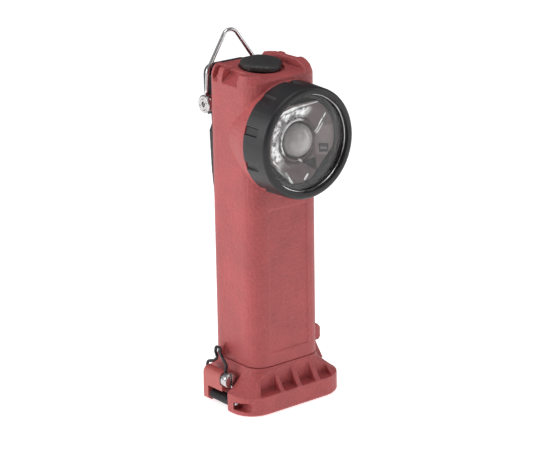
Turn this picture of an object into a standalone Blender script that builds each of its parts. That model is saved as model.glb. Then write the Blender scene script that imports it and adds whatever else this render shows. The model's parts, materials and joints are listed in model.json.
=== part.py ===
"""Right-angle hand lamp for fire crews: a nylon barrel with a latched tail cap, a spring clip and ring.

Metres, +Z up. The origin is the middle of the foot's underside, below the barrel's own axis.
The lens faces -Y, the tail latch is on the -X side, the tail hinge on +X, the clip at the rear.
"""

import math

import bmesh
import bpy
from mathutils import Matrix, Vector

MM = 0.001

# ---- clearances ----
GAP = 0.3 * MM  # between pieces that touch
RUN = 0.4 * MM  # around pins and sliding pieces

# ---- cells ----
CELL_R = 9.25 * MM
CELL_LEN = 69.0 * MM
CELL_NUB_R = 3.0 * MM
CELL_NUB = 1.6 * MM
CELL_X = CELL_R + 0.5 * MM

# ---- barrel ----
WALL = 2.4 * MM
SIDE_ROOM = 0.9 * MM
FRONT_ROOM = 7.5 * MM
BODY_W = 2 * (CELL_X + CELL_R + SIDE_ROOM + WALL)
BODY_D = 2 * (CELL_R + FRONT_ROOM + WALL)
BODY_R = 9.0 * MM
PARTING_Z = 23.0 * MM
CELL_Z = PARTING_Z + 1.4 * MM
BAY_TOP = CELL_Z + CELL_LEN + 12.0 * MM
PANEL_W = 25.0 * MM
PANEL_Z0 = PARTING_Z + 7.1 * MM
PANEL_Z1 = BAY_TOP + 2.1 * MM
PANEL_DEEP = 0.4 * MM

# ---- head ----
BORE_R = 23.9 * MM
HEAD_Z = BAY_TOP + BORE_R + 14.8 * MM
BOSS_Y = -BODY_D / 2 - 1.35 * MM
BOSS_R = BORE_R + 4.9 * MM
DEEP_BORE_R = 16.6 * MM
SPIGOT_R = BORE_R + 2.0 * MM
SPIGOT_Y = BOSS_Y - 9.8 * MM
RING_R = SPIGOT_R + 3.5 * MM
RING_BAND_R = RING_R - 0.4 * MM
RING_FRONT_R = RING_R - 0.7 * MM
RING_FACE_R = RING_R - 2.3 * MM
RING_BAND_Y = BOSS_Y - 10.0 * MM
RING_FRONT_Y = BOSS_Y - 17.0 * MM
RING_OPEN_R = SPIGOT_R - 0.8 * MM
RING_LIP = 2.3 * MM
GRIP_NOTCHES = 10
NOTCH_W = 4.2 * MM
NOTCH_DEEP = 1.0 * MM
LENS_T = 2.6 * MM
CUP_WALL = 1.2 * MM
CUP_DEEP = 17.8 * MM
OPTIC_DOME_R = 8.6 * MM
OPTIC_REAR_R = 6.8 * MM
BOARD_T = 1.6 * MM
LED_BOARD_R = 9.5 * MM
SINK_T = 10.0 * MM
SINK_FINS = 4
DRIVER_R = DEEP_BORE_R - 1.1 * MM

# ---- crown and switch ----
SHOULDER_Z = HEAD_Z + BORE_R + 6.0 * MM
CROWN_Z = SHOULDER_Z + 6.6 * MM
CROWN_INSET = 3.6 * MM
LEFT_WALL_Z = SHOULDER_Z + 3.4 * MM
REAR_WALL_Z = SHOULDER_Z + 3.8 * MM
SWITCH_Y = 0.0 * MM
BUTTON_R = 11.1 * MM
BUTTON_TILT = math.radians(5.5)
BUTTON_TOP = SHOULDER_Z + 6.3 * MM
BUTTON_T = 3.2 * MM
BUTTON_TRAVEL = 1.4 * MM
BUTTON_STEM_R = 7.5 * MM
DECK_DROP = BUTTON_T + 0.2 * MM
DECK_HALF = BUTTON_R + 2.5 * MM
DECK_REAR = SWITCH_Y + BUTTON_R + 0.9 * MM

# ---- tail cap ----
FOOT_W = BODY_W + 22.4 * MM
FOOT_FRONT = BODY_D / 2 + 7.15 * MM
FOOT_REAR = BODY_D / 2 + 1.35 * MM
FOOT_R = 14.0 * MM
FOOT_REAR_R = 5.0 * MM
RIM_Z = 10.4 * MM
CAP_FLOOR = 3.0 * MM
POCKET_FLOOR = RIM_Z
RECESS_X = -BODY_W / 2 - 1.9 * MM
RECESS_Y = -8.9 * MM

# ---- tail hinge and latch ----
HINGE_X = BODY_W / 2 + 1.7 * MM
HINGE_Z = PARTING_Z + 8.5 * MM
HINGE_R = 1.7 * MM
HINGE_PIN_R = 0.95 * MM
HINGE_ARM_W = 18.0 * MM
LUG_T = 4.0 * MM
LATCH_X = -FOOT_W / 2 + 3.5 * MM
LATCH_Z = 4.9 * MM
LATCH_PIN_R = 1.1 * MM
LATCH_SPRING_R = 2.9 * MM
LATCH_LUG_T = 1.5 * MM
LEVER_T = 6.0 * MM
LEVER_FRONT = -3.7 * MM
LEVER_REAR = 12.2 * MM
LEVER_TOP = 19.4 * MM
LEVER_LEG_T = 3.8 * MM
SCREW_Z = LEVER_TOP - 3.5 * MM
SCREW_HEAD_R = 4.0 * MM
SCREW_HEAD_T = 3.9 * MM
BAIL_WIRE_R = 0.8 * MM
BAIL_EYE_R = 2.9 * MM
BAIL_FRONT = LEVER_FRONT + 0.7 * MM
BAIL_TOP_Z = PARTING_Z + 7.4 * MM
SCREW_UNDER = BAIL_FRONT - BAIL_WIRE_R - GAP
SCREW_FACE = SCREW_UNDER - SCREW_HEAD_T

# ---- clip and ring ----
CLIP_Y = BODY_D / 2 + 4.35 * MM
CLIP_Z = HEAD_Z + 11.9 * MM
AXLE_R = 2.0 * MM
EAR_X0 = BODY_W / 2 - 9.1 * MM
EAR_T = 2.3 * MM
EYE_X = EAR_X0 + EAR_T + 1.5 * MM
RING_WIRE_R = 1.05 * MM
RING_LEAN = math.radians(4.5)
RING_RISE = 35.6 * MM
HEAD_R = 4.75 * MM
HEAD_T = 1.8 * MM
CLIP_HALF = EAR_X0 + 1.2 * MM
CLIP_T = 2.6 * MM
CLIP_BACK = CLIP_Y + 7.0 * MM
EAR_R = CLIP_BACK - CLIP_T - CLIP_Y - GAP
CLIP_TOP = CLIP_Z + 18.9 * MM
CLIP_TIP_Z = CLIP_Z - 100.0 * MM


# ---------------------------------------------------------------- helpers

def clear_scene():
    for obj in list(bpy.data.objects):
        bpy.data.objects.remove(obj, do_unlink=True)


def material(name, color, rough, metal=0.0):
    mat = bpy.data.materials.new(name)
    mat.use_nodes = True
    shader = mat.node_tree.nodes["Principled BSDF"]
    shader.inputs["Base Color"].default_value = (*color, 1.0)
    shader.inputs["Roughness"].default_value = rough
    shader.inputs["Metallic"].default_value = metal
    return mat


def from_bmesh(name, bm, look, smooth=30.0):
    bmesh.ops.remove_doubles(bm, verts=bm.verts, dist=1e-7)
    bmesh.ops.recalc_face_normals(bm, faces=bm.faces)
    mesh = bpy.data.meshes.new(name)
    bm.to_mesh(mesh)
    bm.free()
    mesh.shade_smooth()
    mesh.set_sharp_from_angle(angle=math.radians(smooth))
    obj = bpy.data.objects.new(name, mesh)
    bpy.context.scene.collection.objects.link(obj)
    if look:
        mesh.materials.append(look)
    return obj


def loft(name, rings, look=None):
    """A closed solid through rings with the same number of points each."""
    bm = bmesh.new()
    rows = [[bm.verts.new(p) for p in ring] for ring in rings]
    n = len(rows[0])
    for low, high in zip(rows, rows[1:]):
        for i in range(n):
            j = (i + 1) % n
            bm.faces.new((low[i], low[j], high[j], high[i]))
    bm.faces.new(list(reversed(rows[0])))
    bm.faces.new(rows[-1])
    return from_bmesh(name, bm, look)


def rounded(half_w, front, rear, r_front, r_rear, z, steps=6):
    """An outline at height z: half_w each side, from -front to +rear in Y, with rounded corners."""
    corners = [
        (half_w - r_rear, rear - r_rear, r_rear, 0),
        (-half_w + r_rear, rear - r_rear, r_rear, 90),
        (-half_w + r_front, -front + r_front, r_front, 180),
        (half_w - r_front, -front + r_front, r_front, 270),
    ]
    points = []
    for x, y, r, start in corners:
        for i in range(steps + 1):
            a = math.radians(start + 90 * i / steps)
            points.append(Vector((x + r * math.cos(a), y + r * math.sin(a), z)))
    return points


def body_outline(z, inset=0.0, steps=6):
    half = BODY_D / 2 - inset
    r = max(BODY_R - inset, 1.0 * MM)
    return rounded(BODY_W / 2 - inset, half, half, r, r, z, steps)


def facing(axis, centre):
    """A matrix whose local Z runs along axis, from centre."""
    turn = Vector((0, 0, 1)).rotation_difference(Vector(axis)).to_matrix().to_4x4()
    return Matrix.Translation(Vector(centre)) @ turn


def turned(name, profile, axis, centre, look=None, steps=48, closed=True):
    """Turns (radius, height) points about axis. A closed profile makes a ring, an open one ends on it."""
    bm = bmesh.new()
    place = facing(axis, centre)
    rows = []
    for r, h in profile:
        if r < 1e-9:
            rows.append([bm.verts.new(place @ Vector((0, 0, h)))])
            continue
        angles = [2 * math.pi * i / steps for i in range(steps)]
        rows.append([bm.verts.new(place @ Vector((r * math.cos(a), r * math.sin(a), h))) for a in angles])
    pairs = list(zip(rows, rows[1:]))
    if closed:
        pairs.append((rows[-1], rows[0]))
    for low, high in pairs:
        for i in range(steps):
            j = (i + 1) % steps
            if len(low) == 1:
                bm.faces.new((low[0], high[j], high[i]))
            elif len(high) == 1:
                bm.faces.new((low[i], low[j], high[0]))
            else:
                bm.faces.new((low[i], low[j], high[j], high[i]))
    return from_bmesh(name, bm, look)


def rod(name, r, h0, h1, axis, centre, look=None, steps=24):
    """A cylinder from h0 to h1 along axis."""
    return turned(name, [(0, h0), (r, h0), (r, h1), (0, h1)], axis, centre, look, steps, closed=False)


def box(name, low, high, look=None):
    bm = bmesh.new()
    bmesh.ops.create_cube(bm, size=1.0)
    low, high = Vector(low), Vector(high)
    size = high - low
    for v in bm.verts:
        v.co = Vector((v.co.x * size.x, v.co.y * size.y, v.co.z * size.z)) + (low + high) / 2
    return from_bmesh(name, bm, look)


def prism(name, outline, axis, centre, h0, h1, look=None):
    """Extrudes a 2-D outline, given in the plane across axis, from h0 to h1."""
    rings = []
    for h in (h0, h1):
        if axis == "X":
            rings.append([Vector((h, a, b)) + Vector(centre) for a, b in outline])
        elif axis == "Y":
            rings.append([Vector((a, h, b)) + Vector(centre) for a, b in outline])
        else:
            rings.append([Vector((a, b, h)) + Vector(centre) for a, b in outline])
    return loft(name, rings, look)


def bent(points, radius, steps=4):
    """Rounds the corners of an open 3-D route with arcs."""
    points = [Vector(p) for p in points]
    route = [points[0]]
    for a, b, c in zip(points, points[1:], points[2:]):
        back, ahead = (a - b).normalized(), (c - b).normalized()
        half = back.angle(ahead) / 2
        reach = radius / math.tan(half)
        reach = min(reach, 0.45 * (a - b).length, 0.45 * (c - b).length)
        start, end = b + back * reach, b + ahead * reach
        for i in range(steps + 1):
            t = i / steps
            route.append(start * (1 - t) ** 2 + b * 2 * t * (1 - t) + end * t ** 2)
    route.append(points[-1])
    return route


def wire(name, route, radius, look=None, sides=8, closed=False):
    """A round wire along a route, open with flat ends or closed on itself."""
    bm = bmesh.new()
    count = len(route)
    rows = []
    side = None
    for i, p in enumerate(route):
        before = route[(i - 1) % count] if closed or i else p
        after = route[(i + 1) % count] if closed or i < count - 1 else p
        ahead = (after - before).normalized()
        if side is None:
            side = ahead.orthogonal().normalized()
        side = (side - ahead * side.dot(ahead)).normalized()
        up = ahead.cross(side)
        turn = [2 * math.pi * k / sides for k in range(sides)]
        rows.append([bm.verts.new(p + (side * math.cos(a) + up * math.sin(a)) * radius) for a in turn])
    pairs = list(zip(rows, rows[1:]))
    for low, high in pairs:
        for k in range(sides):
            j = (k + 1) % sides
            bm.faces.new((low[k], low[j], high[j], high[k]))
    bm.faces.new(list(reversed(rows[0])))
    bm.faces.new(rows[-1])
    return from_bmesh(name, bm, look, smooth=50.0)


def triangulate(obj):
    """Flat triangles keep the next cut exact, where a many-sided face may be bent by rounding."""
    bm = bmesh.new()
    bm.from_mesh(obj.data)
    bmesh.ops.triangulate(bm, faces=bm.faces)
    bm.to_mesh(obj.data)
    bm.free()


def merge_flats(obj):
    """Joins the triangles of each flat face again."""
    bm = bmesh.new()
    bm.from_mesh(obj.data)
    bmesh.ops.dissolve_limit(bm, angle_limit=math.radians(0.05), verts=bm.verts, edges=bm.edges)
    bm.to_mesh(obj.data)
    bm.free()


def boolean(target, tools, operation="DIFFERENCE"):
    """Cuts tools from target, or joins them to it, and removes them."""
    for tool in tools:
        triangulate(target)
        triangulate(tool)
        mod = target.modifiers.new("cut", "BOOLEAN")
        mod.operation = operation
        mod.solver = "EXACT"
        mod.object = tool
        graph = bpy.context.evaluated_depsgraph_get()
        mesh = bpy.data.meshes.new_from_object(target.evaluated_get(graph))
        target.modifiers.remove(mod)
        old = target.data
        target.data = mesh
        mesh.name = target.name
        bpy.data.meshes.remove(old)
        bpy.data.objects.remove(tool, do_unlink=True)
    merge_flats(target)
    target.data.shade_smooth()
    target.data.set_sharp_from_angle(angle=math.radians(30.0))
    return target


def join(target, tools):
    return boolean(target, tools, "UNION")


def mirrored(points):
    return [(-x, y) for x, y in reversed(points)]


def pivot(name, centre, objects, parent=None):
    """An empty on a joint's axis that carries objects, which take it as their origin."""
    empty = bpy.data.objects.new(name, None)
    bpy.context.scene.collection.objects.link(empty)
    empty.empty_display_size = 5 * MM
    centre = Vector(centre)
    base = parent.matrix_world.translation if parent else Vector()
    empty.parent = parent
    empty.location = centre - base
    bpy.context.view_layer.update()
    for obj in objects:
        obj.data.transform(Matrix.Translation(-centre))
        obj.parent = empty
    return empty


# ---------------------------------------------------------------- barrel

def side_pocket(side, y0, y1):
    """A wedge cutter that scoops an outer shoulder, its floor sloping out and down."""
    z0, x = SHOULDER_Z - 3.5 * MM, BODY_W / 2
    outline = [
        (side * (x - 6.5 * MM), z0 + 4.5 * MM), (side * (x + 3.7 * MM), z0 - 2.0 * MM),
        (side * (x + 3.7 * MM), z0 + 14.0 * MM), (side * (x - 4.7 * MM), z0 + 14.0 * MM),
    ]
    return prism("cut", outline, "Y", (0, 0, 0), y0, y1)


def button_axis():
    """The way the tilted button faces."""
    return Vector((0, -math.sin(BUTTON_TILT), math.cos(BUTTON_TILT)))


def front_shoulder():
    """A cutter that slopes the crown's front edge."""
    y, far = -BODY_D / 2, BODY_D / 2 + 11 * MM
    outline = [(-far, SHOULDER_Z - 0.3 * MM), (y, SHOULDER_Z + 1.4 * MM), (y + 5.2 * MM, CROWN_Z - 1.5 * MM),
               (y + 11.2 * MM, CROWN_Z + 1 * MM), (-far, CROWN_Z + 4 * MM)]
    return prism("front shoulder", outline, "X", (0, 0, 0), -far, far)


def button_deck():
    """A cutter for the deck round the button, square to the button's axis."""
    far = BODY_D / 2 + 11 * MM
    slope = math.tan(BUTTON_TILT)
    z = BUTTON_TOP - DECK_DROP
    outline = [(-far, z - (far + SWITCH_Y) * slope), (DECK_REAR, z + (DECK_REAR - SWITCH_Y) * slope),
               (DECK_REAR, CROWN_Z + 8 * MM), (-far, CROWN_Z + 8 * MM)]
    return prism("button deck", outline, "X", (0, 0, 0), -DECK_HALF, DECK_HALF)


def barrel_housing(look):
    far, above = BODY_W / 2 + 11 * MM, CROWN_Z + 10 * MM
    crown = [
        body_outline(PARTING_Z),
        body_outline(SHOULDER_Z),
        body_outline(SHOULDER_Z + 3.2 * MM, 1.1 * MM),
        body_outline(CROWN_Z, CROWN_INSET),
    ]
    shell = loft("barrel_housing", crown, look)
    boss = [
        (0, -BOSS_Y), (BOSS_R, -BOSS_Y), (28.3 * MM, 17 * MM), (27.4 * MM, 14 * MM),
        (23.5 * MM, 3.4 * MM), (21.0 * MM, -4.0 * MM), (0, -4.0 * MM),
    ]
    join(shell, [
        turned("boss", boss, (0, -1, 0), (0, 0, HEAD_Z), closed=False, steps=56),
        rod("spigot", SPIGOT_R, -BOSS_Y - 5 * MM, -SPIGOT_Y, (0, -1, 0), (0, 0, HEAD_Z), steps=56),
    ])
    join(shell, clip_ears() + hinge_lugs() + [latch_catch()])
    boolean(shell, [
        front_shoulder(),
        button_deck(),
        box("left wall", (-far, -far, LEFT_WALL_Z), (-DECK_HALF + 0.6 * MM, 4.6 * MM, above)),
        box("left wall", (-far, 4.5 * MM, LEFT_WALL_Z + 1.1 * MM), (-DECK_HALF + 0.5 * MM, far, above)),
        box("rear wall", (-DECK_HALF - 0.1 * MM, DECK_REAR - 0.8 * MM, REAR_WALL_Z),
            (DECK_HALF + 0.1 * MM, far, above)),
        box("right wall", (DECK_HALF - 0.5 * MM, DECK_REAR - 1.5 * MM, CROWN_Z - 0.9 * MM),
            (far, far, above)),
        side_pocket(1, -8.0 * MM, 4.4 * MM),
        side_pocket(-1, -8.0 * MM, 4.4 * MM),
        side_pocket(1, 8.2 * MM, 12.6 * MM),
        side_pocket(-1, 8.2 * MM, 12.6 * MM),
        box("label panel", (-PANEL_W / 2, -BODY_D, PANEL_Z0),
            (PANEL_W / 2, -BODY_D / 2 + PANEL_DEEP, PANEL_Z1)),
    ])
    inner = [body_outline(PARTING_Z - 5 * MM, WALL), body_outline(BAY_TOP, WALL)]
    boolean(shell, [
        loft("cell bay", inner),
        box("lead way", (-11 * MM, 1.5 * MM, BAY_TOP - 5 * MM), (11 * MM, 12.5 * MM, HEAD_Z)),
        rod("deep bore", DEEP_BORE_R, -14.0 * MM, 13.5 * MM, (0, -1, 0), (0, 0, HEAD_Z), steps=48),
        rod("bore", BORE_R, 12.2 * MM, 40 * MM, (0, -1, 0), (0, 0, HEAD_Z), steps=56),
        switch_well(),
        rod("hinge room", HINGE_R + RUN, -HINGE_ARM_W / 2 - GAP, HINGE_ARM_W / 2 + GAP, (0, 1, 0),
            (HINGE_X, 0, HINGE_Z)),
        rod("hinge hole", HINGE_PIN_R + GAP, -HINGE_ARM_W / 2 - LUG_T + 0.7 * MM,
            HINGE_ARM_W / 2 + LUG_T + 2 * MM, (0, 1, 0), (HINGE_X, 0, HINGE_Z), steps=16),
        rod("axle hole", AXLE_R + GAP, -30 * MM, 30 * MM, (1, 0, 0), (0, CLIP_Y, CLIP_Z), steps=20),
    ])
    return shell


def switch_well():
    """A cutter for the room under the deck, the stem's hole and the button's shallow seat."""
    room, hole, seat = BUTTON_STEM_R + 1.6 * MM, BUTTON_STEM_R + RUN, BUTTON_R + RUN + 0.2 * MM
    floor = -DECK_DROP - 1.6 * MM
    ceiling, low, above = floor - 1.0 * MM, HEAD_Z + 3.3 * MM - BUTTON_TOP, 9 * MM
    profile = [(0, low), (room, low), (room, ceiling), (hole, ceiling), (hole, floor), (seat, floor),
               (seat, above), (0, above)]
    return turned("switch well", profile, button_axis(), (0, SWITCH_Y, BUTTON_TOP), steps=40, closed=False)


def clip_ears():
    """Two ears behind the barrel that hold the clip's axle."""
    ears = []
    root = BODY_D / 2 - 6.0 * MM
    for side in (-1, 1):
        outline = [(root, CLIP_Z - 9 * MM), (CLIP_Y, CLIP_Z - EAR_R)]
        for i in range(1, 8):
            a = math.radians(-90 + 180 * i / 8)
            outline.append((CLIP_Y + EAR_R * math.cos(a), CLIP_Z + EAR_R * math.sin(a)))
        outline += [(CLIP_Y, CLIP_Z + EAR_R), (root, CLIP_Z + 8 * MM)]
        x0, x1 = sorted((side * EAR_X0, side * (EAR_X0 + EAR_T)))
        ears.append(prism("ear", outline, "X", (0, 0, 0), x0, x1))
    return ears


def hinge_lugs():
    """Two lugs low on the +X side that carry the tail hinge's pin."""
    lugs = []
    low, high = HINGE_Z - 4.5 * MM, HINGE_Z + 4.5 * MM
    out = HINGE_X + HINGE_R
    for side in (-1, 1):
        y0, y1 = sorted((side * (HINGE_ARM_W / 2 + GAP), side * (HINGE_ARM_W / 2 + GAP + LUG_T)))
        outline = [
            (BODY_W / 2 - 1.6 * MM, low), (out - 1.2 * MM, low), (out, low + 1.6 * MM),
            (out, high - 2.2 * MM), (out - 1.6 * MM, high), (BODY_W / 2 - 1.6 * MM, high),
        ]
        lugs.append(prism("lug", outline, "Y", (0, 0, 0), y0, y1))
    return lugs


def latch_catch():
    """A sloping nose on the -X side that the bail hooks over."""
    x = -BODY_W / 2
    nose = BAIL_TOP_Z - 3.1 * MM
    outline = [
        (x + 1.2 * MM, nose + 6.2 * MM), (x + 1.2 * MM, nose - 4.0 * MM),
        (x - 4.4 * MM, nose - 1.8 * MM), (x - 4.4 * MM, nose),
    ]
    return prism("catch", outline, "Y", (0, 0, 0), 5.8 * MM, 8.1 * MM)


# ---------------------------------------------------------------- tail cap

def flare(t, steps=6):
    """An outline between the foot's rim, t=0, and the barrel, t=1."""
    z = RIM_Z + (PARTING_Z - GAP - RIM_Z) * t
    s = 1 - (1 - t) ** 1.5
    foot = rounded(FOOT_W / 2, FOOT_FRONT, FOOT_REAR, FOOT_R, FOOT_REAR_R, z, steps)
    body = body_outline(z, 0.0, steps)
    return [a.lerp(b, s) for a, b in zip(foot, body)]


def tail_cap(look):
    foot = rounded(FOOT_W / 2, FOOT_FRONT, FOOT_REAR, FOOT_R, FOOT_REAR_R, 0, 6)
    low = rounded(FOOT_W / 2 - 1 * MM, FOOT_FRONT - 1 * MM, FOOT_REAR - 1 * MM, FOOT_R - 1 * MM,
                  FOOT_REAR_R - 1 * MM, 0, 6)
    foot = [p + Vector((0, 0, 1.0 * MM)) for p in foot]
    rings = [low, foot] + [flare(i / 5) for i in range(6)]
    cap = loft("tail_cap", rings, look)
    join(cap, [hinge_arm()])
    pockets = [(-19.7, -11.2, 0.8), (-8.8, 0.0, 0), (2.8, 11.9, 0), (15.2, 23.5, 0)]
    cutters = []
    back, front = -BODY_D / 2 - 0.4 * MM, -FOOT_FRONT - 5 * MM
    for x0, x1, slant in pockets:
        outline = [(x0 * MM, back), (x0 * MM + slant * (front - back), front),
                   (x1 * MM, front), (x1 * MM, back)]
        cutters.append(prism("pocket", outline, "Z", (0, 0, 0), POCKET_FLOOR, PARTING_Z - 2 * MM))
    far = FOOT_W
    inner = [body_outline(CAP_FLOOR, WALL + 0.6 * MM), body_outline(PARTING_Z + 5 * MM, WALL + 0.6 * MM)]
    cutters += [
        loft("tail room", inner),
        loft("gasket groove", [body_outline(PARTING_Z - 1.5 * MM, WALL - 1.1 * MM),
                               body_outline(PARTING_Z + 5 * MM, WALL - 1.1 * MM)]),
        box("latch recess", (-far, RECESS_Y, -5 * MM), (RECESS_X, far, PARTING_Z + 5 * MM)),
        rod("screw room", SCREW_HEAD_R + 0.8 * MM, 0, -SCREW_FACE + RUN, (0, -1, 0),
            (LATCH_X, 0, SCREW_Z), steps=24),
        box("screw way", (-far, SCREW_FACE - RUN, SCREW_Z - SCREW_HEAD_R - 0.8 * MM),
            (LATCH_X, RECESS_Y + 1 * MM, PARTING_Z + 5 * MM)),
        rod("pin scoop", 2.5 * MM, -RECESS_Y + 3.5 * MM, far, (0, -1, 0), (LATCH_X, 0, LATCH_Z), steps=20),
        box("pin scoop", (LATCH_X - 3.1 * MM, -far, LATCH_Z - 2.2 * MM),
            (LATCH_X, RECESS_Y - 3.4 * MM, LATCH_Z + 2.2 * MM)),
    ]
    boolean(cap, cutters)
    join(cap, [latch_lug()])
    boolean(cap, [
        rod("latch pin hole", LATCH_PIN_R + GAP, -30 * MM, 20 * MM, (0, 1, 0),
            (LATCH_X, 0, LATCH_Z), steps=20),
        rod("hinge pin hole", HINGE_PIN_R + GAP, -30 * MM, 30 * MM, (0, 1, 0),
            (HINGE_X, 0, HINGE_Z), steps=16),
    ])
    return cap


def latch_lug():
    """A slim lug behind the lever that holds the latch pin's rear end."""
    outline = [(RECESS_X + 1.5 * MM, LATCH_Z - 2.2 * MM), (RECESS_X + 1.5 * MM, LATCH_Z + 2.2 * MM)]
    for i in range(9):
        a = math.radians(90 + 180 * i / 8)
        outline.append((LATCH_X + 2.0 * MM * math.cos(a), LATCH_Z + 2.2 * MM * math.sin(a)))
    return prism("lug", outline, "Y", (0, 0, 0), LEVER_REAR + GAP, LEVER_REAR + GAP + LATCH_LUG_T)


def hinge_arm():
    """The arm from the cap up to the knuckle between the barrel's lugs."""
    x0 = BODY_W / 2 + GAP
    outline = [(x0, PARTING_Z - 9 * MM), (HINGE_X + 7.0 * MM, PARTING_Z - 9 * MM),
               (HINGE_X + 4.4 * MM, PARTING_Z - 3.5 * MM), (HINGE_X + HINGE_R, PARTING_Z + 2.5 * MM)]
    for i in range(7):
        a = math.radians(180 * i / 6)
        outline.append((HINGE_X + HINGE_R * math.cos(a), HINGE_Z + HINGE_R * math.sin(a)))
    outline.append((x0, PARTING_Z))
    half = HINGE_ARM_W / 2
    return prism("arm", outline, "Y", (0, 0, 0), -half, half)


def tail_gasket(look):
    """A square-section seal in the cap's groove."""
    low, high = PARTING_Z - 1.5 * MM + GAP, PARTING_Z - GAP
    ring = loft("tail_cap_gasket", [body_outline(low, WALL - 1.1 * MM + GAP),
                                    body_outline(high, WALL - 1.1 * MM + GAP)], look)
    return boolean(ring, [loft("cut", [body_outline(low - 5 * MM, WALL + 0.4 * MM),
                                       body_outline(high + 5 * MM, WALL + 0.4 * MM)])])


CARRIER_TOP = PARTING_Z - 11.0 * MM
PLATE_T = 0.8 * MM
SPRING_WIRE_R = 0.55 * MM
SPRING_TURNS = 4


def tail_contacts(looks):
    """The insulating carrier in the cap, its bridge plate, two cell springs and two screws."""
    inset = WALL + 0.6 * MM + GAP
    carrier = loft("tail_contact_carrier",
                   [body_outline(CAP_FLOOR + GAP, inset), body_outline(CARRIER_TOP, inset)], looks["black"])
    half_x, half_y = CELL_X + 7 * MM, 5.0 * MM
    boolean(carrier, [
        box("seat", (-half_x - GAP, -half_y - GAP, CARRIER_TOP - PLATE_T),
            (half_x + GAP, half_y + GAP, CARRIER_TOP + 5 * MM)),
    ])
    low, high = CARRIER_TOP - 2.5 * MM, CARRIER_TOP + 9 * MM
    for y in (10.5 * MM, -10.5 * MM):
        boolean(carrier, [rod("screw way", 2.6 * MM, low, high, (0, 0, 1), (0, y, 0)),
                          rod("screw hole", 1.5 * MM, 0, CARRIER_TOP, (0, 0, 1), (0, y, 0), steps=12)])
    plate = box("tail_contact_plate", (-half_x, -half_y, CARRIER_TOP - PLATE_T + GAP),
                (half_x, half_y, CARRIER_TOP + GAP), looks["steel"])
    parts = [carrier, plate]
    low = CARRIER_TOP + 2 * GAP + SPRING_WIRE_R
    high = CELL_Z - GAP - SPRING_WIRE_R
    for side, name in ((-1, "left"), (1, "right")):
        route = []
        count = SPRING_TURNS * 14
        for i in range(count + 1):
            t = i / count
            a = 2 * math.pi * SPRING_TURNS * t
            r = (5.2 - 2.2 * t) * MM
            route.append(Vector((side * CELL_X + r * math.cos(a), r * math.sin(a), low + (high - low) * t)))
        parts.append(wire(f"tail_spring_{name}", route, SPRING_WIRE_R, looks["steel"], sides=6))
    for side, name in ((-1, "front"), (1, "rear")):
        z = CARRIER_TOP - 2.5 * MM + GAP
        tip = CAP_FLOOR + 0.7 * MM
        profile = [(0, tip), (1.15 * MM, tip), (1.15 * MM, z), (2.2 * MM, z),
                   (2.2 * MM, z + 1.2 * MM), (1.0 * MM, z + 1.7 * MM), (0, z + 1.7 * MM)]
        parts.append(turned(f"carrier_screw_{name}", profile, (0, 0, 1), (0, side * 10.5 * MM, 0),
                            looks["steel"], steps=16, closed=False))
    return parts


# ---------------------------------------------------------------- tail hinge and latch

def hinge_pin(look):
    half = HINGE_ARM_W / 2 + LUG_T
    return rod("tail_hinge_pin", HINGE_PIN_R, -half + 1.0 * MM, half - 0.2 * MM, (0, 1, 0),
               (HINGE_X, 0, HINGE_Z), look, steps=16)


def latch_pin(look):
    """The latch pin, its domed head in the scoop at the cap's front corner."""
    front, rear = RECESS_Y - 3.1 * MM, LEVER_REAR + GAP + LATCH_LUG_T - 0.3 * MM
    profile = [(0, front - 1.7 * MM), (1.0 * MM, front - 1.5 * MM), (1.7 * MM, front - 0.9 * MM),
               (1.7 * MM, front - 0.7 * MM), (LATCH_PIN_R, front - 0.7 * MM), (LATCH_PIN_R, rear), (0, rear)]
    return turned("latch_pivot_pin", profile, (0, 1, 0), (LATCH_X, 0, LATCH_Z), look, steps=16, closed=False)


def latch_spring(look):
    """A close-wound spring on the latch pin, shaped as the envelope of its turns."""
    low, high = RECESS_Y + GAP, LEVER_REAR - LEVER_LEG_T - GAP
    turns = 11
    pitch = (high - low) / turns
    inner = LATCH_PIN_R + GAP
    profile = [(inner, low)]
    for i in range(turns):
        y = low + pitch * i
        profile += [(LATCH_SPRING_R - 0.45 * MM, y + 0.02 * pitch), (LATCH_SPRING_R, y + 0.3 * pitch),
                    (LATCH_SPRING_R, y + 0.7 * pitch)]
    profile += [(LATCH_SPRING_R - 0.45 * MM, high), (inner, high)]
    return turned("latch_spring", profile, (0, 1, 0), (LATCH_X, 0, LATCH_Z), look, steps=16)


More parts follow.
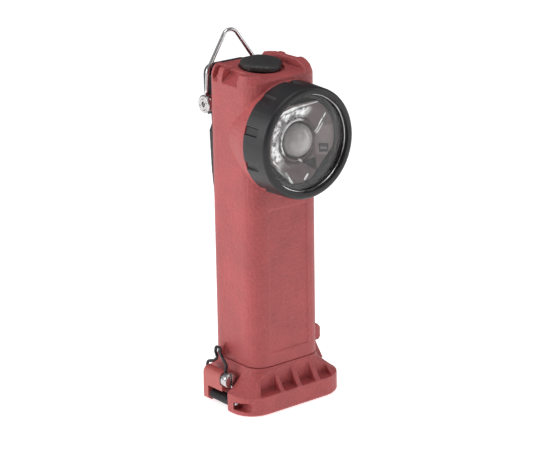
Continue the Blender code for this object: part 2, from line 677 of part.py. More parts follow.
def latch_lever(look):
    """The lever: a bar across the recess, rounded at the top, with one leg down to its pin."""
    x_out = LATCH_X - LEVER_T / 2
    x_in = LATCH_X + LEVER_T / 2
    r = 3.2 * MM
    outline = [(x_in, 9.6 * MM), (x_in, LEVER_TOP - 2.0 * MM), (x_in - 1.5 * MM, LEVER_TOP)]
    for i in range(5):
        a = math.radians(90 + 90 * i / 4)
        outline.append((x_out + r * (1 + math.cos(a)), LEVER_TOP - r * (1 - math.sin(a))))
    outline.append((x_out, 9.6 * MM))
    lever = prism("latch_lever", outline, "Y", (0, 0, 0), LEVER_FRONT, LEVER_REAR, look)
    leg = [(x_in, 12 * MM), (x_out, 12 * MM), (x_out, 2.2 * MM)]
    for i in range(7):
        a = math.radians(200 + 140 * i / 6)
        leg.append((LATCH_X + 3.1 * MM * math.cos(a), LATCH_Z + 4.2 * MM * math.sin(a)))
    leg.append((x_in, LATCH_Z))
    join(lever, [prism("leg", leg, "Y", (0, 0, 0), LEVER_REAR - LEVER_LEG_T, LEVER_REAR)])
    seat = BAIL_FRONT + BAIL_WIRE_R + GAP
    boolean(lever, [
        rod("eye seat", BAIL_EYE_R + BAIL_WIRE_R + RUN, -seat, 20 * MM, (0, -1, 0), (LATCH_X, 0, SCREW_Z)),
        box("eye way", (x_out - 5 * MM, -20 * MM, SCREW_Z + 0.5 * MM), (x_in + 5 * MM, seat, 40 * MM)),
        rod("pin hole", LATCH_PIN_R + GAP, 0, 30 * MM, (0, 1, 0), (LATCH_X, 0, LATCH_Z), steps=16),
        rod("screw hole", 1.5 * MM + GAP, -30 * MM, 8 * MM, (0, 1, 0), (LATCH_X, 0, SCREW_Z), steps=16),
        rod("bail hole", BAIL_WIRE_R + GAP, LEVER_REAR - 3 * MM, LEVER_REAR + 3 * MM, (0, 1, 0),
            (LATCH_X, 0, SCREW_Z), steps=16),
    ])
    return lever


def latch_screw(look):
    """The slotted cheese-head screw that the bail's front foot turns on."""
    face, under = SCREW_FACE, SCREW_UNDER
    r = SCREW_HEAD_R
    profile = [(0, face), (r - 0.4 * MM, face), (r, face + 0.4 * MM), (r, under),
               (1.5 * MM, under), (1.5 * MM, 7.5 * MM), (0, 7.5 * MM)]
    screw = turned("latch_screw", profile, (0, 1, 0), (LATCH_X, 0, SCREW_Z), look, steps=32, closed=False)
    slot = box("slot", (LATCH_X - 0.55 * MM, face - 2 * MM, SCREW_Z - 9 * MM),
               (LATCH_X + 0.55 * MM, face + 1.3 * MM, SCREW_Z + 9 * MM))
    return boolean(screw, [slot])


def latch_bail(look):
    """The wire bail: an eye on the screw, a waisted loop over the catch, a rear foot in the lever."""
    r = BAIL_WIRE_R
    front = BAIL_FRONT
    rear = LEVER_REAR + r + GAP
    eye = []
    for i in range(15):
        a = math.radians(100 - 320 * i / 14)
        eye.append(Vector((LATCH_X + BAIL_EYE_R * math.cos(a), front, SCREW_Z + BAIL_EYE_R * math.sin(a))))
    eye.reverse()
    x = LATCH_X + 1.0 * MM
    top = BAIL_TOP_Z - r
    legs = bent([
        eye[-1],
        (x, front, SCREW_Z + 6.4 * MM),
        (x + 0.9 * MM, 1.2 * MM, SCREW_Z + 9.2 * MM),
        (x + 1.0 * MM, 3.6 * MM, top - 1.9 * MM),
        (x + 2.2 * MM, 5.2 * MM, top),
        (x + 2.2 * MM, 8.9 * MM, top),
        (x + 1.0 * MM, 7.7 * MM, top - 2.3 * MM),
        (x + 0.9 * MM, rear - 7.4 * MM, SCREW_Z + 8.6 * MM),
        (x + 0.5 * MM, rear - 4.6 * MM, SCREW_Z + 6.2 * MM),
        (x, rear, SCREW_Z + 4.8 * MM),
        (LATCH_X, rear, SCREW_Z),
        (LATCH_X, rear - 3.4 * MM, SCREW_Z),
    ], 1.6 * MM)
    return wire("latch_bail", eye + legs[1:], r, look, sides=8)


# ---------------------------------------------------------------- head

AHEAD = (0, -1, 0)
HEAD = (0, 0, HEAD_Z)


def face_ring(look):
    back, front = -BOSS_Y + GAP, -RING_FRONT_Y
    inner = SPIGOT_R + GAP
    profile = [
        (inner, back), (RING_R - 0.4 * MM, back), (RING_R, back + 0.4 * MM), (RING_BAND_R, -RING_BAND_Y),
        (RING_FRONT_R, front - 1.3 * MM), (RING_FRONT_R - 0.6 * MM, front - 0.5 * MM), (RING_FACE_R, front),
        (RING_OPEN_R, front),
        (RING_OPEN_R, front - RING_LIP), (inner + 0.1 * MM, front - RING_LIP),
    ]
    ring = turned("face_ring", profile, AHEAD, HEAD, look, steps=60)
    notches = []
    for i in range(GRIP_NOTCHES):
        a = math.radians(90 + 360 * i / GRIP_NOTCHES)
        outward, across = Vector((math.cos(a), 0, math.sin(a))), Vector((-math.sin(a), 0, math.cos(a)))
        centre = Vector(HEAD)
        corners = []
        for y in (BOSS_Y + 2 * MM, RING_BAND_Y):
            for out, wide in ((RING_BAND_R - NOTCH_DEEP, -1), (RING_BAND_R + 5 * MM, -1),
                              (RING_BAND_R + 5 * MM, 1), (RING_BAND_R - NOTCH_DEEP, 1)):
                corners.append(centre + outward * out + across * wide * NOTCH_W / 2 + Vector((0, y, 0)))
        notches.append(loft("notch", [corners[:4], corners[4:]]))
    return boolean(ring, notches)


def lens(look):
    front = -RING_FRONT_Y - RING_LIP - GAP
    return rod("lens", SPIGOT_R, front - LENS_T, front, AHEAD, HEAD, look, steps=60)


def lens_gasket(look):
    back = -SPIGOT_Y + GAP
    front = -RING_FRONT_Y - RING_LIP - LENS_T - 2 * GAP
    return turned("lens_gasket", [(SPIGOT_R - 1.7 * MM, back), (SPIGOT_R, back), (SPIGOT_R, front),
                                  (SPIGOT_R - 1.7 * MM, front)], AHEAD, HEAD, look, steps=40)


CUP_FRONT = -SPIGOT_Y - 0.1 * MM
CUP_BACK = CUP_FRONT - CUP_DEEP
CUP_R = BORE_R - GAP
OPTIC_R = CUP_R - CUP_WALL - GAP
OPTIC_FLAT = OPTIC_R - 2.9 * MM


def optic_holder(look):
    """The cup that centres the optic over the lamp."""
    hole = OPTIC_REAR_R + GAP
    profile = [(hole, CUP_BACK), (CUP_R, CUP_BACK), (CUP_R, CUP_FRONT), (CUP_R - CUP_WALL, CUP_FRONT),
               (CUP_R - CUP_WALL, CUP_BACK + 1.4 * MM), (hole, CUP_BACK + 1.4 * MM)]
    return turned("optic_holder", profile, AHEAD, HEAD, look, steps=40)


def collimator(look):
    """A solid collimator: a flange with three flats, a cone, a front dome and a rear well for the lamp."""
    front, back = CUP_FRONT - 0.2 * MM, CUP_BACK + 0.2 * MM
    profile = [(0, back + 5.5 * MM), (3.4 * MM, back + 4.6 * MM), (3.8 * MM, back), (OPTIC_REAR_R, back),
               (OPTIC_REAR_R, back + 1.6 * MM), (OPTIC_REAR_R + 3 * MM, back + 4.4 * MM),
               (OPTIC_R - 5 * MM, front - 6.5 * MM),
               (OPTIC_R, front - 1.6 * MM), (OPTIC_R, front), (OPTIC_DOME_R + 3 * MM, front),
               (OPTIC_DOME_R, front - 3.0 * MM), (OPTIC_DOME_R * 0.75, front - 1.7 * MM),
               (OPTIC_DOME_R * 0.4, front - 0.9 * MM), (0, front - 0.6 * MM)]
    optic = turned("collimator", profile, AHEAD, HEAD, look, steps=48, closed=False)
    flats = []
    for a in (90, 225, 315):
        a = math.radians(a)
        outward, across = Vector((math.cos(a), 0, math.sin(a))), Vector((-math.sin(a), 0, math.cos(a)))
        rows = []
        for y in (-front - 2 * MM, -back + 2 * MM):
            rows.append([Vector(HEAD) + outward * out + across * wide + Vector((0, y, 0))
                         for out, wide in ((OPTIC_FLAT, -30 * MM), (40 * MM, -30 * MM),
                                           (40 * MM, 30 * MM), (OPTIC_FLAT, 30 * MM))])
        flats.append(loft("flat", rows))
    return boolean(optic, flats)


def led_parts(looks):
    """The lamp on its board, the heat sink behind it and the driver board behind that."""
    board_front = CUP_BACK - GAP
    lamp_base = board_front + GAP
    base = box("led_emitter", (-2.5 * MM, -lamp_base - 0.9 * MM, HEAD_Z - 2.5 * MM),
               (2.5 * MM, -lamp_base, HEAD_Z + 2.5 * MM), looks["lamp"])
    dome = []
    for i in range(6):
        a = math.radians(90 * i / 5)
        dome.append((2.0 * MM * math.cos(a), lamp_base + 0.6 * MM + 2.2 * MM * math.sin(a)))
    dome = [(0, lamp_base + 0.6 * MM)] + dome[:-1] + [(0, lamp_base + 2.8 * MM)]
    join(base, [turned("dome", dome, AHEAD, HEAD, steps=20, closed=False)])
    board = rod("led_board", LED_BOARD_R, board_front - BOARD_T, board_front, AHEAD, HEAD,
                looks["board"], steps=32)
    front = board_front - BOARD_T - GAP
    r = DEEP_BORE_R - GAP
    sink = turned("heat_sink", heat_sink_profile(front, r), AHEAD, HEAD, looks["aluminium"],
                  steps=32, closed=False)
    driver_front = front - SINK_T - 1.8 * MM
    driver = rod("driver_board", DRIVER_R, driver_front - BOARD_T, driver_front, AHEAD, HEAD,
                 looks["board"], steps=32)
    return [base, board, sink, driver]


def heat_sink_profile(front, r):
    """A hub with discs along it, the front one thick."""
    hub = 6.0 * MM
    pitch = SINK_T / SINK_FINS
    profile = [(0, front - SINK_T), (hub, front - SINK_T)]
    for i in range(SINK_FINS - 1):
        y = front - SINK_T + pitch * (i + 0.3)
        profile += [(hub, y), (r, y), (r, y + 0.5 * pitch), (hub, y + 0.5 * pitch)]
    profile += [(hub, front - 0.8 * pitch), (r, front - 0.8 * pitch), (r, front), (0, front)]
    return profile


# ---------------------------------------------------------------- switch

def switch_parts(looks):
    """The boot, plunger, switch and its board, along the button's tilted axis."""
    axis, centre = button_axis(), (0, SWITCH_Y, BUTTON_TOP)
    low, stem = -BUTTON_T, -BUTTON_T - 5.4 * MM
    profile = [(0, stem), (BUTTON_STEM_R, stem), (BUTTON_STEM_R, low), (BUTTON_R, low),
               (BUTTON_R, -1.5 * MM), (BUTTON_R - 1.1 * MM, -0.3 * MM), (0, 0)]
    boot = turned("button_boot", profile, axis, centre, looks["rubber"], steps=32, closed=False)
    under = stem - GAP
    tip = under - 3.4 * MM
    profile = [(0, tip), (2.4 * MM, tip), (2.4 * MM, under - 1.2 * MM), (6.0 * MM, under - 1.2 * MM),
               (6.0 * MM, under), (0, under)]
    plunger = turned("switch_plunger", profile, axis, centre, looks["black"], steps=20, closed=False)
    top = tip - BUTTON_TRAVEL - GAP
    half = 3.1 * MM
    switch = box("tactile_switch", (-half, -half, top - 3.2 * MM), (half, half, top - 0.4 * MM),
                 looks["black"])
    switch.data.transform(facing(axis, centre))
    join(switch, [rod("stem", 1.7 * MM, top - 2 * MM, top, axis, centre, steps=16)])
    board_top = top - 3.2 * MM - GAP
    board = rod("switch_board", 6.2 * MM, board_top - 1.2 * MM, board_top, axis, centre,
                looks["board"], steps=24)
    return boot, plunger, switch, board


# ---------------------------------------------------------------- cells

def cell(name, x, looks):
    """A cell with a stepped end and a raised contact."""
    top = CELL_LEN - CELL_NUB
    profile = [(0, 0), (CELL_R - 1.0 * MM, 0), (CELL_R - 1.0 * MM, 0.3 * MM), (CELL_R, 0.6 * MM),
               (CELL_R, top - 0.6 * MM), (CELL_R - 1.0 * MM, top), (CELL_NUB_R + 0.2 * MM, top),
               (CELL_NUB_R, top + 0.3 * MM), (CELL_NUB_R, CELL_LEN), (0, CELL_LEN)]
    return turned(name, profile, (0, 0, 1), (x, 0, CELL_Z), looks["cell"], steps=32, closed=False)


def cell_parts(looks):
    cells = [cell("cell_left", -CELL_X, looks), cell("cell_right", CELL_X, looks)]
    inset = WALL + GAP
    low, high = CELL_Z + 1 * MM, CELL_Z + CELL_LEN - 4 * MM
    cradle = loft("cell_cradle", [body_outline(low, inset), body_outline(high, inset)], looks["black"])
    bore = CELL_R + RUN
    boolean(cradle, [rod("bore", bore, 0, BAY_TOP, (0, 0, 1), (side * CELL_X, 0, 0), steps=32)
                     for side in (-1, 1)])
    z = CELL_Z + CELL_LEN + GAP
    parts = cells + [cradle]
    for side, name in ((-1, "left"), (1, "right")):
        profile = [(0, z), (3.4 * MM, z), (3.4 * MM, z + 0.8 * MM), (1.6 * MM, z + 1.2 * MM),
                   (1.6 * MM, z + 3.0 * MM), (0, z + 3.0 * MM)]
        parts.append(turned(f"top_contact_{name}", profile, (0, 0, 1), (side * CELL_X, 0, 0), looks["brass"],
                            steps=20, closed=False))
    z += 3.0 * MM + GAP
    parts.append(loft("top_contact_board", [body_outline(z, inset), body_outline(z + BOARD_T, inset)],
                      looks["board"]))
    z += BOARD_T + GAP
    for side, name in ((-1, "left"), (1, "right")):
        x, look = side * 4.5 * MM, looks["red_lead" if side > 0 else "black"]
        route = bent([(x, 7.0 * MM, z), (x, 7.0 * MM, z + 12 * MM), (x, 9.0 * MM, HEAD_Z - 14 * MM),
                      (x, 9.0 * MM, HEAD_Z - 7 * MM), (x, 6.2 * MM, HEAD_Z - 5.5 * MM)], 4 * MM)
        parts.append(wire(f"lead_{name}", route, 0.8 * MM, look, sides=8))
    return parts


# ---------------------------------------------------------------- clip and ring

def clip_screws(look):
    parts = []
    for side, name in ((-1, "left"), (1, "right")):
        inner = EYE_X + RING_WIRE_R + GAP
        outer = inner + HEAD_T
        deep = EAR_X0 - 1.7 * MM
        profile = [(0, deep), (1.2 * MM, deep), (1.2 * MM, inner), (HEAD_R, inner),
                   (HEAD_R, outer - 0.5 * MM), (HEAD_R - 0.5 * MM, outer), (3.2 * MM, outer),
                   (3.0 * MM, outer - 0.3 * MM), (2.7 * MM, outer - 0.3 * MM), (2.5 * MM, outer),
                   (1.5 * MM, outer), (1.5 * MM, outer - 1.3 * MM), (0, outer - 1.3 * MM)]
        parts.append(turned(f"clip_screw_{name}", profile, (side, 0, 0), (0, CLIP_Y, CLIP_Z), look,
                            steps=24, closed=False))
    return parts


def clip_axle(look):
    end = EAR_X0 + EAR_T - 0.2 * MM
    axle = rod("clip_axle", AXLE_R, -end, end, (1, 0, 0), (0, CLIP_Y, CLIP_Z), look, steps=20)
    deep = EAR_X0 - 2.7 * MM
    return boolean(axle, [
        rod("hole", 1.5 * MM, deep, 30 * MM, (side, 0, 0), (0, CLIP_Y, CLIP_Z), steps=12)
        for side in (-1, 1)])


def d_ring(look):
    """A bent wire ring: an eye on each screw, straight legs, slanting sides and a round top."""
    lean = Matrix.Rotation(-RING_LEAN, 4, "X")
    pivot_point = Vector((0, CLIP_Y, CLIP_Z))
    eye_r = 1.75 * MM + RING_WIRE_R
    half = []
    for i in range(13):
        a = math.radians(-230 + 230 * i / 12)
        half.append(Vector((EYE_X, eye_r * math.cos(a), eye_r * math.sin(a))))
    shift = eye_r
    rise = RING_RISE
    route = [Vector((-p.x, p.y, p.z)) for p in half]
    legs = bent([
        (-EYE_X, shift, 0), (-EYE_X, 0.4 * MM, 6.5 * MM), (-EYE_X + 1.1 * MM, 0, rise - 19.0 * MM),
        (-2.6 * MM, 0, rise), (2.6 * MM, 0, rise), (EYE_X - 1.1 * MM, 0, rise - 19.0 * MM),
        (EYE_X, 0.4 * MM, 6.5 * MM), (EYE_X, shift, 0)],
        4.5 * MM, steps=5)
    route += legs[1:-1] + list(reversed(half))
    route = [pivot_point + (lean @ p) for p in route]
    return wire("d_ring", route, RING_WIRE_R, look, sides=8)


def spring_clip(look):
    """The clip: a thumb plate above the axle, two cheeks on it, and a long arm down the rear."""
    y1, y0 = CLIP_BACK, CLIP_BACK - CLIP_T
    half = CLIP_HALF
    plate = []
    for i in range(5):
        a = math.radians(90 * i / 4)
        plate.append((half - 5 * MM + 5 * MM * math.cos(a), CLIP_TOP - 5 * MM + 5 * MM * math.sin(a)))
    plate = [(10.5 * MM, CLIP_Z - 6 * MM), (half, CLIP_Z + 3 * MM)] + plate
    clip = prism("spring_clip", plate + mirrored(plate), "Y", (0, 0, 0), y0, y1, look)
    cheeks = []
    for side in (-1, 1):
        outline = [(y1 - 0.6 * MM, CLIP_Z - 8 * MM), (y1 - 0.6 * MM, CLIP_TOP - 6 * MM),
                   (y0 - 1 * MM, CLIP_TOP - 6 * MM)]
        for i in range(7):
            a = math.radians(100 + 180 * i / 6)
            outline.append((CLIP_Y + 3.6 * MM * math.cos(a), CLIP_Z + 3.6 * MM * math.sin(a)))
        x0, x1 = sorted((side * (EAR_X0 - RUN - 2.4 * MM), side * (EAR_X0 - RUN)))
        cheeks.append(prism("cheek", outline, "X", (0, 0, 0), x0, x1))
    join(clip, cheeks)
    arm_side = []
    top = CLIP_Z - 3 * MM
    steps = 8
    for i in range(steps + 1):
        t = i / steps
        z = top - (top - CLIP_TIP_Z) * t
        y = y1 - 1.0 * MM * min(t * 4, 1) - 6.4 * MM * max(0, (t - 0.2) / 0.8) ** 1.3
        arm_side.append((y, z))
    outer = arm_side
    inner = [(y - CLIP_T, z) for y, z in reversed(arm_side)]
    foot = CLIP_TIP_Z - 3.5 * MM
    outline = outer + [(outer[-1][0] + 0.5 * MM, foot), (inner[0][0] + 2 * MM, foot)] + inner
    arm = prism("arm", outline, "X", (0, 0, 0), -12 * MM, 12 * MM)
    edge = [(10.2 * MM, CLIP_Z + 4 * MM), (10.2 * MM, CLIP_Z - 13 * MM), (12 * MM, CLIP_Z - 16.5 * MM),
            (12 * MM, CLIP_Z - 38 * MM), (9.0 * MM, CLIP_TIP_Z - 6 * MM), (9.0 * MM, CLIP_TIP_Z - 16 * MM),
            (30 * MM, CLIP_TIP_Z - 16 * MM), (30 * MM, CLIP_Z + 4 * MM)]
    trims = []
    for side in (-1, 1):
        outline = [(side * x, z) for x, z in edge]
        trims.append(prism("trim", outline, "Y", (0, 0, 0), CLIP_Y - 13.5 * MM, CLIP_Y + 16.5 * MM))
    boolean(arm, trims)
    join(clip, [arm])
    return boolean(clip, [
        rod("axle hole", AXLE_R + GAP, -30 * MM, 30 * MM, (1, 0, 0), (0, CLIP_Y, CLIP_Z), steps=20)])


def clip_spring(look):
    """A torsion spring round the axle, its two tails on the barrel's side and the arm's side."""
    wire_r = 0.65 * MM
    coil_r = AXLE_R + GAP + 0.2 * MM + wire_r
    turns = 6
    route = []
    half_w = 5.4 * MM
    steps = turns * 12
    for i in range(steps + 1):
        t = i / steps
        a = math.radians(180) + 2 * math.pi * turns * t
        x = -half_w + 2 * half_w * t
        route.append(Vector((x, CLIP_Y + coil_r * math.cos(a), CLIP_Z + coil_r * math.sin(a))))
    first = Vector((-half_w, CLIP_Y - coil_r, CLIP_Z - 12 * MM))
    return wire("clip_spring", [first] + route, wire_r, look, sides=6)


# ---------------------------------------------------------------- the whole lamp

def main():
    clear_scene()
    looks = {
        "nylon": material("salmon_nylon", (0.46, 0.105, 0.10), 0.55),
        "lever": material("lever_nylon", (0.42, 0.085, 0.085), 0.38),
        "black": material("black_nylon", (0.02, 0.02, 0.022), 0.5),
        "rubber": material("black_rubber", (0.03, 0.03, 0.03), 0.7),
        "steel": material("bright_steel", (0.62, 0.62, 0.63), 0.22, 1.0),
        "blackened": material("blackened_steel", (0.03, 0.03, 0.035), 0.4, 1.0),
        "clear": material("clear_lens", (0.9, 0.92, 0.92), 0.03),
        "aluminium": material("aluminium", (0.75, 0.76, 0.77), 0.35, 1.0),
        "board": material("circuit_board", (0.02, 0.12, 0.05), 0.45),
        "lamp": material("lamp_phosphor", (0.85, 0.75, 0.3), 0.3),
        "brass": material("brass", (0.78, 0.57, 0.25), 0.3, 1.0),
        "cell": material("cell_wrap", (0.05, 0.16, 0.3), 0.35),
        "red_lead": material("red_lead", (0.6, 0.03, 0.03), 0.45),
    }
    barrel_housing(looks["nylon"])
    face_ring(looks["black"])
    lens(looks["clear"])
    lens_gasket(looks["rubber"])
    optic_holder(looks["black"])
    collimator(looks["clear"])
    led_parts(looks)
    boot, plunger, _, _ = switch_parts(looks)
    pivot("button_press", (0, SWITCH_Y, BUTTON_TOP), [boot, plunger])
    cell_parts(looks)
    hinge_pin(looks["steel"])
    cap_parts = [tail_cap(looks["nylon"]), tail_gasket(looks["rubber"]), latch_pin(looks["steel"]),
                 latch_spring(looks["blackened"])] + tail_contacts(looks)
    cap = pivot("tail_cap_swing", (HINGE_X, 0, HINGE_Z), cap_parts)
    lever = pivot("latch_lever_swing", (LATCH_X, 0, LATCH_Z),
                  [latch_lever(looks["lever"]), latch_screw(looks["steel"])], cap)
    pivot("latch_bail_swing", (LATCH_X, 0, SCREW_Z), [latch_bail(looks["blackened"])], lever)
    clip_axle(looks["steel"])
    clip_screws(looks["steel"])
    clip_spring(looks["steel"])
    axle = (0, CLIP_Y, CLIP_Z)
    pivot("clip_swing", axle, [spring_clip(looks["black"])])
    pivot("ring_swing", axle, [d_ring(looks["steel"])])


main()
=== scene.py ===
"""Right-angle firefighter's lamp: the finished look of every piece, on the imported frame.

Moulded nylon parts are rounded copies of their solids, wire parts and coils are swept by
geometry nodes, turned parts are revolved with softened corners, and each finish is a
procedural material built from a few shared node groups.
"""
import json
import math

import bmesh
import bpy
from mathutils import Matrix, Vector


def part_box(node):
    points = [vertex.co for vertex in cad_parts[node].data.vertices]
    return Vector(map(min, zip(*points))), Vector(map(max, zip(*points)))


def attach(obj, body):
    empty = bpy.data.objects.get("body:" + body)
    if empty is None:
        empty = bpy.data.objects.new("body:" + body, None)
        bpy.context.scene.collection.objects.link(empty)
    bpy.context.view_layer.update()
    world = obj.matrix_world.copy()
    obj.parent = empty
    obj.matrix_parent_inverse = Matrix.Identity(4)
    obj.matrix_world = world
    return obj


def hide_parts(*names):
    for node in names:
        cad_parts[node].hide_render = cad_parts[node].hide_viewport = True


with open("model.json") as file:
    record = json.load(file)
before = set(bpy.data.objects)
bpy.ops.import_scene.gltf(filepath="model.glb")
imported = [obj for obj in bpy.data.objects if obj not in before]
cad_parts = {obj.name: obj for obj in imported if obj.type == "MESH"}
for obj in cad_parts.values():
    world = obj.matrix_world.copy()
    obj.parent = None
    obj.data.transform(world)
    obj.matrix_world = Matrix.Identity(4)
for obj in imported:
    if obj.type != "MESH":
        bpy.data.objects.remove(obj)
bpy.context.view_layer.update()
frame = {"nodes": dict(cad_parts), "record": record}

MM = 0.001

# ---- places and sizes shared with the solids, in metres ----
HEAD = Vector((0, 0, 144.1 * MM))
AHEAD = Vector((0, -1, 0))
SPIGOT_R = 25.9 * MM
RING_BACK = 20.8 * MM
RING_FRONT = 37.5 * MM
RING_R = 29.4 * MM
RING_BAND_R = 29.0 * MM
RING_BAND = 30.5 * MM
RING_OPEN_R = 25.1 * MM
GRIP_NOTCHES = 10
NOTCH_HALF = 2.1 * MM
NOTCH_R = 28.0 * MM
LENS_FRONT = 34.9 * MM
LENS_T = 2.6 * MM
BOWL_FLAT = 19.2 * MM
DOME_R = 8.6 * MM
BUTTON_R = 11.1 * MM
BUTTON_TILT = math.radians(5.5)
BUTTON_TOP = Vector((0, 0, 180.3 * MM))
BUTTON_AXIS = Vector((0, -math.sin(BUTTON_TILT), math.cos(BUTTON_TILT)))
PIVOT = Vector((0, 23.5 * MM, 156 * MM))
EYE_X = 17.0 * MM
RING_WIRE = 1.05 * MM
RING_RISE = 35.6 * MM
RING_LEAN = math.radians(4.5)
LATCH_X = -30.0 * MM
LATCH_Z = 4.9 * MM
SCREW_Z = 15.9 * MM
SCREW_FACE = -8.0 * MM
SCREW_UNDER = -4.1 * MM
SCREW_R = 4.0 * MM
BAIL_WIRE = 0.8 * MM
BAIL_EYE = 2.9 * MM
BAIL_FRONT = -3.0 * MM
BAIL_TOP = 29.6 * MM
BAIL_REAR = 13.3 * MM
SPRING_LOW = -8.6 * MM
SPRING_HIGH = 8.1 * MM
COIL_R = 2.9 * MM
CELL_X = 9.75 * MM


# ---------------------------------------------------------------- node tools

def feed(tree, socket, value):
    """Links a socket, or sets its value."""
    if isinstance(value, bpy.types.NodeSocket):
        tree.links.new(value, socket)
    elif isinstance(value, (tuple, list)) and len(value) == 3 and socket.type == "RGBA":
        socket.default_value = (*value, 1.0)
    else:
        socket.default_value = value


def node(tree, kind, inputs=None, **settings):
    made = tree.nodes.new(kind)
    for key, value in settings.items():
        setattr(made, key, value)
    for key, value in (inputs or {}).items():
        feed(tree, made.inputs[key], value)
    return made


def calc(tree, operation, a, b=0.0, clamp=False):
    made = node(tree, "ShaderNodeMath", operation=operation, use_clamp=clamp)
    feed(tree, made.inputs[0], a)
    feed(tree, made.inputs[1], b)
    return made.outputs[0]


def vector_calc(tree, operation, a, b=None):
    """Vector arithmetic: its vector output, then its value output."""
    made = node(tree, "ShaderNodeVectorMath", operation=operation)
    feed(tree, made.inputs[0], a)
    if b is not None:
        feed(tree, made.inputs[1], b)
    return made.outputs


def blend(tree, share, a, b, how="MIX"):
    """One colour into another by a share from 0 to 1."""
    made = node(tree, "ShaderNodeMix", data_type="RGBA", blend_type=how, clamp_factor=True)
    feed(tree, made.inputs[0], share)
    feed(tree, made.inputs[6], a)
    feed(tree, made.inputs[7], b)
    return made.outputs[2]


def spread(tree, value, low, high, out_low=0.0, out_high=1.0, smooth=False):
    """Maps low..high to out_low..out_high."""
    made = node(tree, "ShaderNodeMapRange", {0: value, 1: low, 2: high, 3: out_low, 4: out_high},
                clamp=True, interpolation_type="SMOOTHSTEP" if smooth else "LINEAR")
    return made.outputs[0]


def noise(tree, place, scale, detail=3.0, rough=0.55):
    made = node(tree, "ShaderNodeTexNoise", {"Vector": place, "Scale": scale, "Detail": detail,
                                             "Roughness": rough})
    return made.outputs["Fac"]


def object_place(tree, stretch=None):
    """Object coordinates, stretched if asked."""
    place = node(tree, "ShaderNodeTexCoord").outputs["Object"]
    if stretch:
        place = node(tree, "ShaderNodeMapping", {"Vector": place, "Scale": stretch}).outputs[0]
    return place


def new_group(name, inputs, outputs):
    """A shader group with named sockets: its tree, its inputs and its output node."""
    tree = bpy.data.node_groups.new(name, "ShaderNodeTree")
    kinds = {"value": "NodeSocketFloat", "colour": "NodeSocketColor", "vector": "NodeSocketVector"}
    for label, kind, default in inputs:
        made = tree.interface.new_socket(name=label, in_out="INPUT", socket_type=kinds[kind])
        made.default_value = (*default, 1.0) if kind == "colour" else default
    for label, kind in outputs:
        tree.interface.new_socket(name=label, in_out="OUTPUT", socket_type=kinds[kind])
    return tree, tree.nodes.new("NodeGroupInput"), tree.nodes.new("NodeGroupOutput")


# ---------------------------------------------------------------- shared effects

def moulded_grain():
    """The fine spark grain of a moulded face: a height and a tone."""
    tree, given, out = new_group("moulded_grain", [("Scale", "value", 1500.0), ("Mottle", "value", 60.0)],
                                 [("Height", "value"), ("Tone", "value")])
    place = object_place(tree)
    fine = noise(tree, place, given.outputs["Scale"], 2.0, 0.6)
    cells = node(tree, "ShaderNodeTexVoronoi", {"Vector": place, "Randomness": 1.0}, feature="SMOOTH_F1")
    feed(tree, cells.inputs["Scale"], calc(tree, "MULTIPLY", given.outputs["Scale"], 0.55))
    height = calc(tree, "ADD", calc(tree, "MULTIPLY", fine, 0.6),
                  calc(tree, "MULTIPLY", cells.outputs["Distance"], 0.55))
    feed(tree, out.inputs["Height"], height)
    broad = noise(tree, place, given.outputs["Mottle"], 4.0, 0.6)
    feed(tree, out.inputs["Tone"], calc(tree, "ADD", calc(tree, "MULTIPLY", broad, 0.5),
                                        calc(tree, "MULTIPLY", fine, 0.5)))
    return tree


def worn_edges():
    """A mask of rubbed outer edges, broken up by noise."""
    tree, given, out = new_group("worn_edges", [("Width", "value", 0.0006), ("Breakup", "value", 220.0)],
                                 [("Mask", "value")])
    soft = node(tree, "ShaderNodeBevel", {"Radius": given.outputs["Width"]}, samples=4)
    flat = node(tree, "ShaderNodeNewGeometry").outputs["Normal"]
    same = vector_calc(tree, "DOT_PRODUCT", soft.outputs[0], flat)
    edge = spread(tree, same["Value"], 0.995, 0.90)
    rubbed = spread(tree, noise(tree, object_place(tree), given.outputs["Breakup"], 3.0), 0.36, 0.62)
    feed(tree, out.inputs["Mask"], calc(tree, "MULTIPLY", edge, calc(tree, "ADD", rubbed, 0.35), True))
    return tree


def corner_shade_and_dust():
    """A mask for corners found by an occlusion test, where it carries painted shade on light parts and dust
    on black ones, and for dust lying thinly on top faces.
    """
    tree, given, out = new_group("corner_shade_and_dust", [("Reach", "value", 0.004), ("Lying", "value", 0.25)],
                                 [("Mask", "value")])
    # painted shade: corners found by ambient occlusion
    occlusion = node(tree, "ShaderNodeAmbientOcclusion", {"Distance": given.outputs["Reach"]},
                  samples=6, only_local=True)
    deep = spread(tree, occlusion.outputs["AO"], 0.85, 0.25)
    place = object_place(tree)
    patch = spread(tree, noise(tree, place, 95.0, 4.0, 0.65), 0.35, 0.7)
    up = node(tree, "ShaderNodeSeparateXYZ", {0: node(tree, "ShaderNodeNewGeometry").outputs["Normal"]})
    lying = calc(tree, "MULTIPLY", spread(tree, up.outputs[2], 0.75, 1.0), given.outputs["Lying"])
    total = calc(tree, "ADD", deep, calc(tree, "MULTIPLY", lying, patch))
    feed(tree, out.inputs["Mask"], calc(tree, "MULTIPLY", total, calc(tree, "ADD", patch, 0.4), True))
    return tree


def handling_marks():
    """Fine scratches that run more one way than the other."""
    tree, given, out = new_group("handling_marks", [("Scale", "value", 180.0), ("Share", "value", 0.3)],
                                 [("Mask", "value"), ("Height", "value")])
    marks = []
    for stretch in ((1.0, 0.12, 7.0), (6.0, 1.0, 0.15)):
        line = noise(tree, object_place(tree, stretch), given.outputs["Scale"], 2.0, 0.5)
        marks.append(spread(tree, line, 0.68, 0.74))
    both = calc(tree, "MAXIMUM", marks[0], marks[1])
    feed(tree, out.inputs["Mask"], calc(tree, "MULTIPLY", both, given.outputs["Share"]))
    feed(tree, out.inputs["Height"], calc(tree, "SUBTRACT", 1.0, both))
    return tree


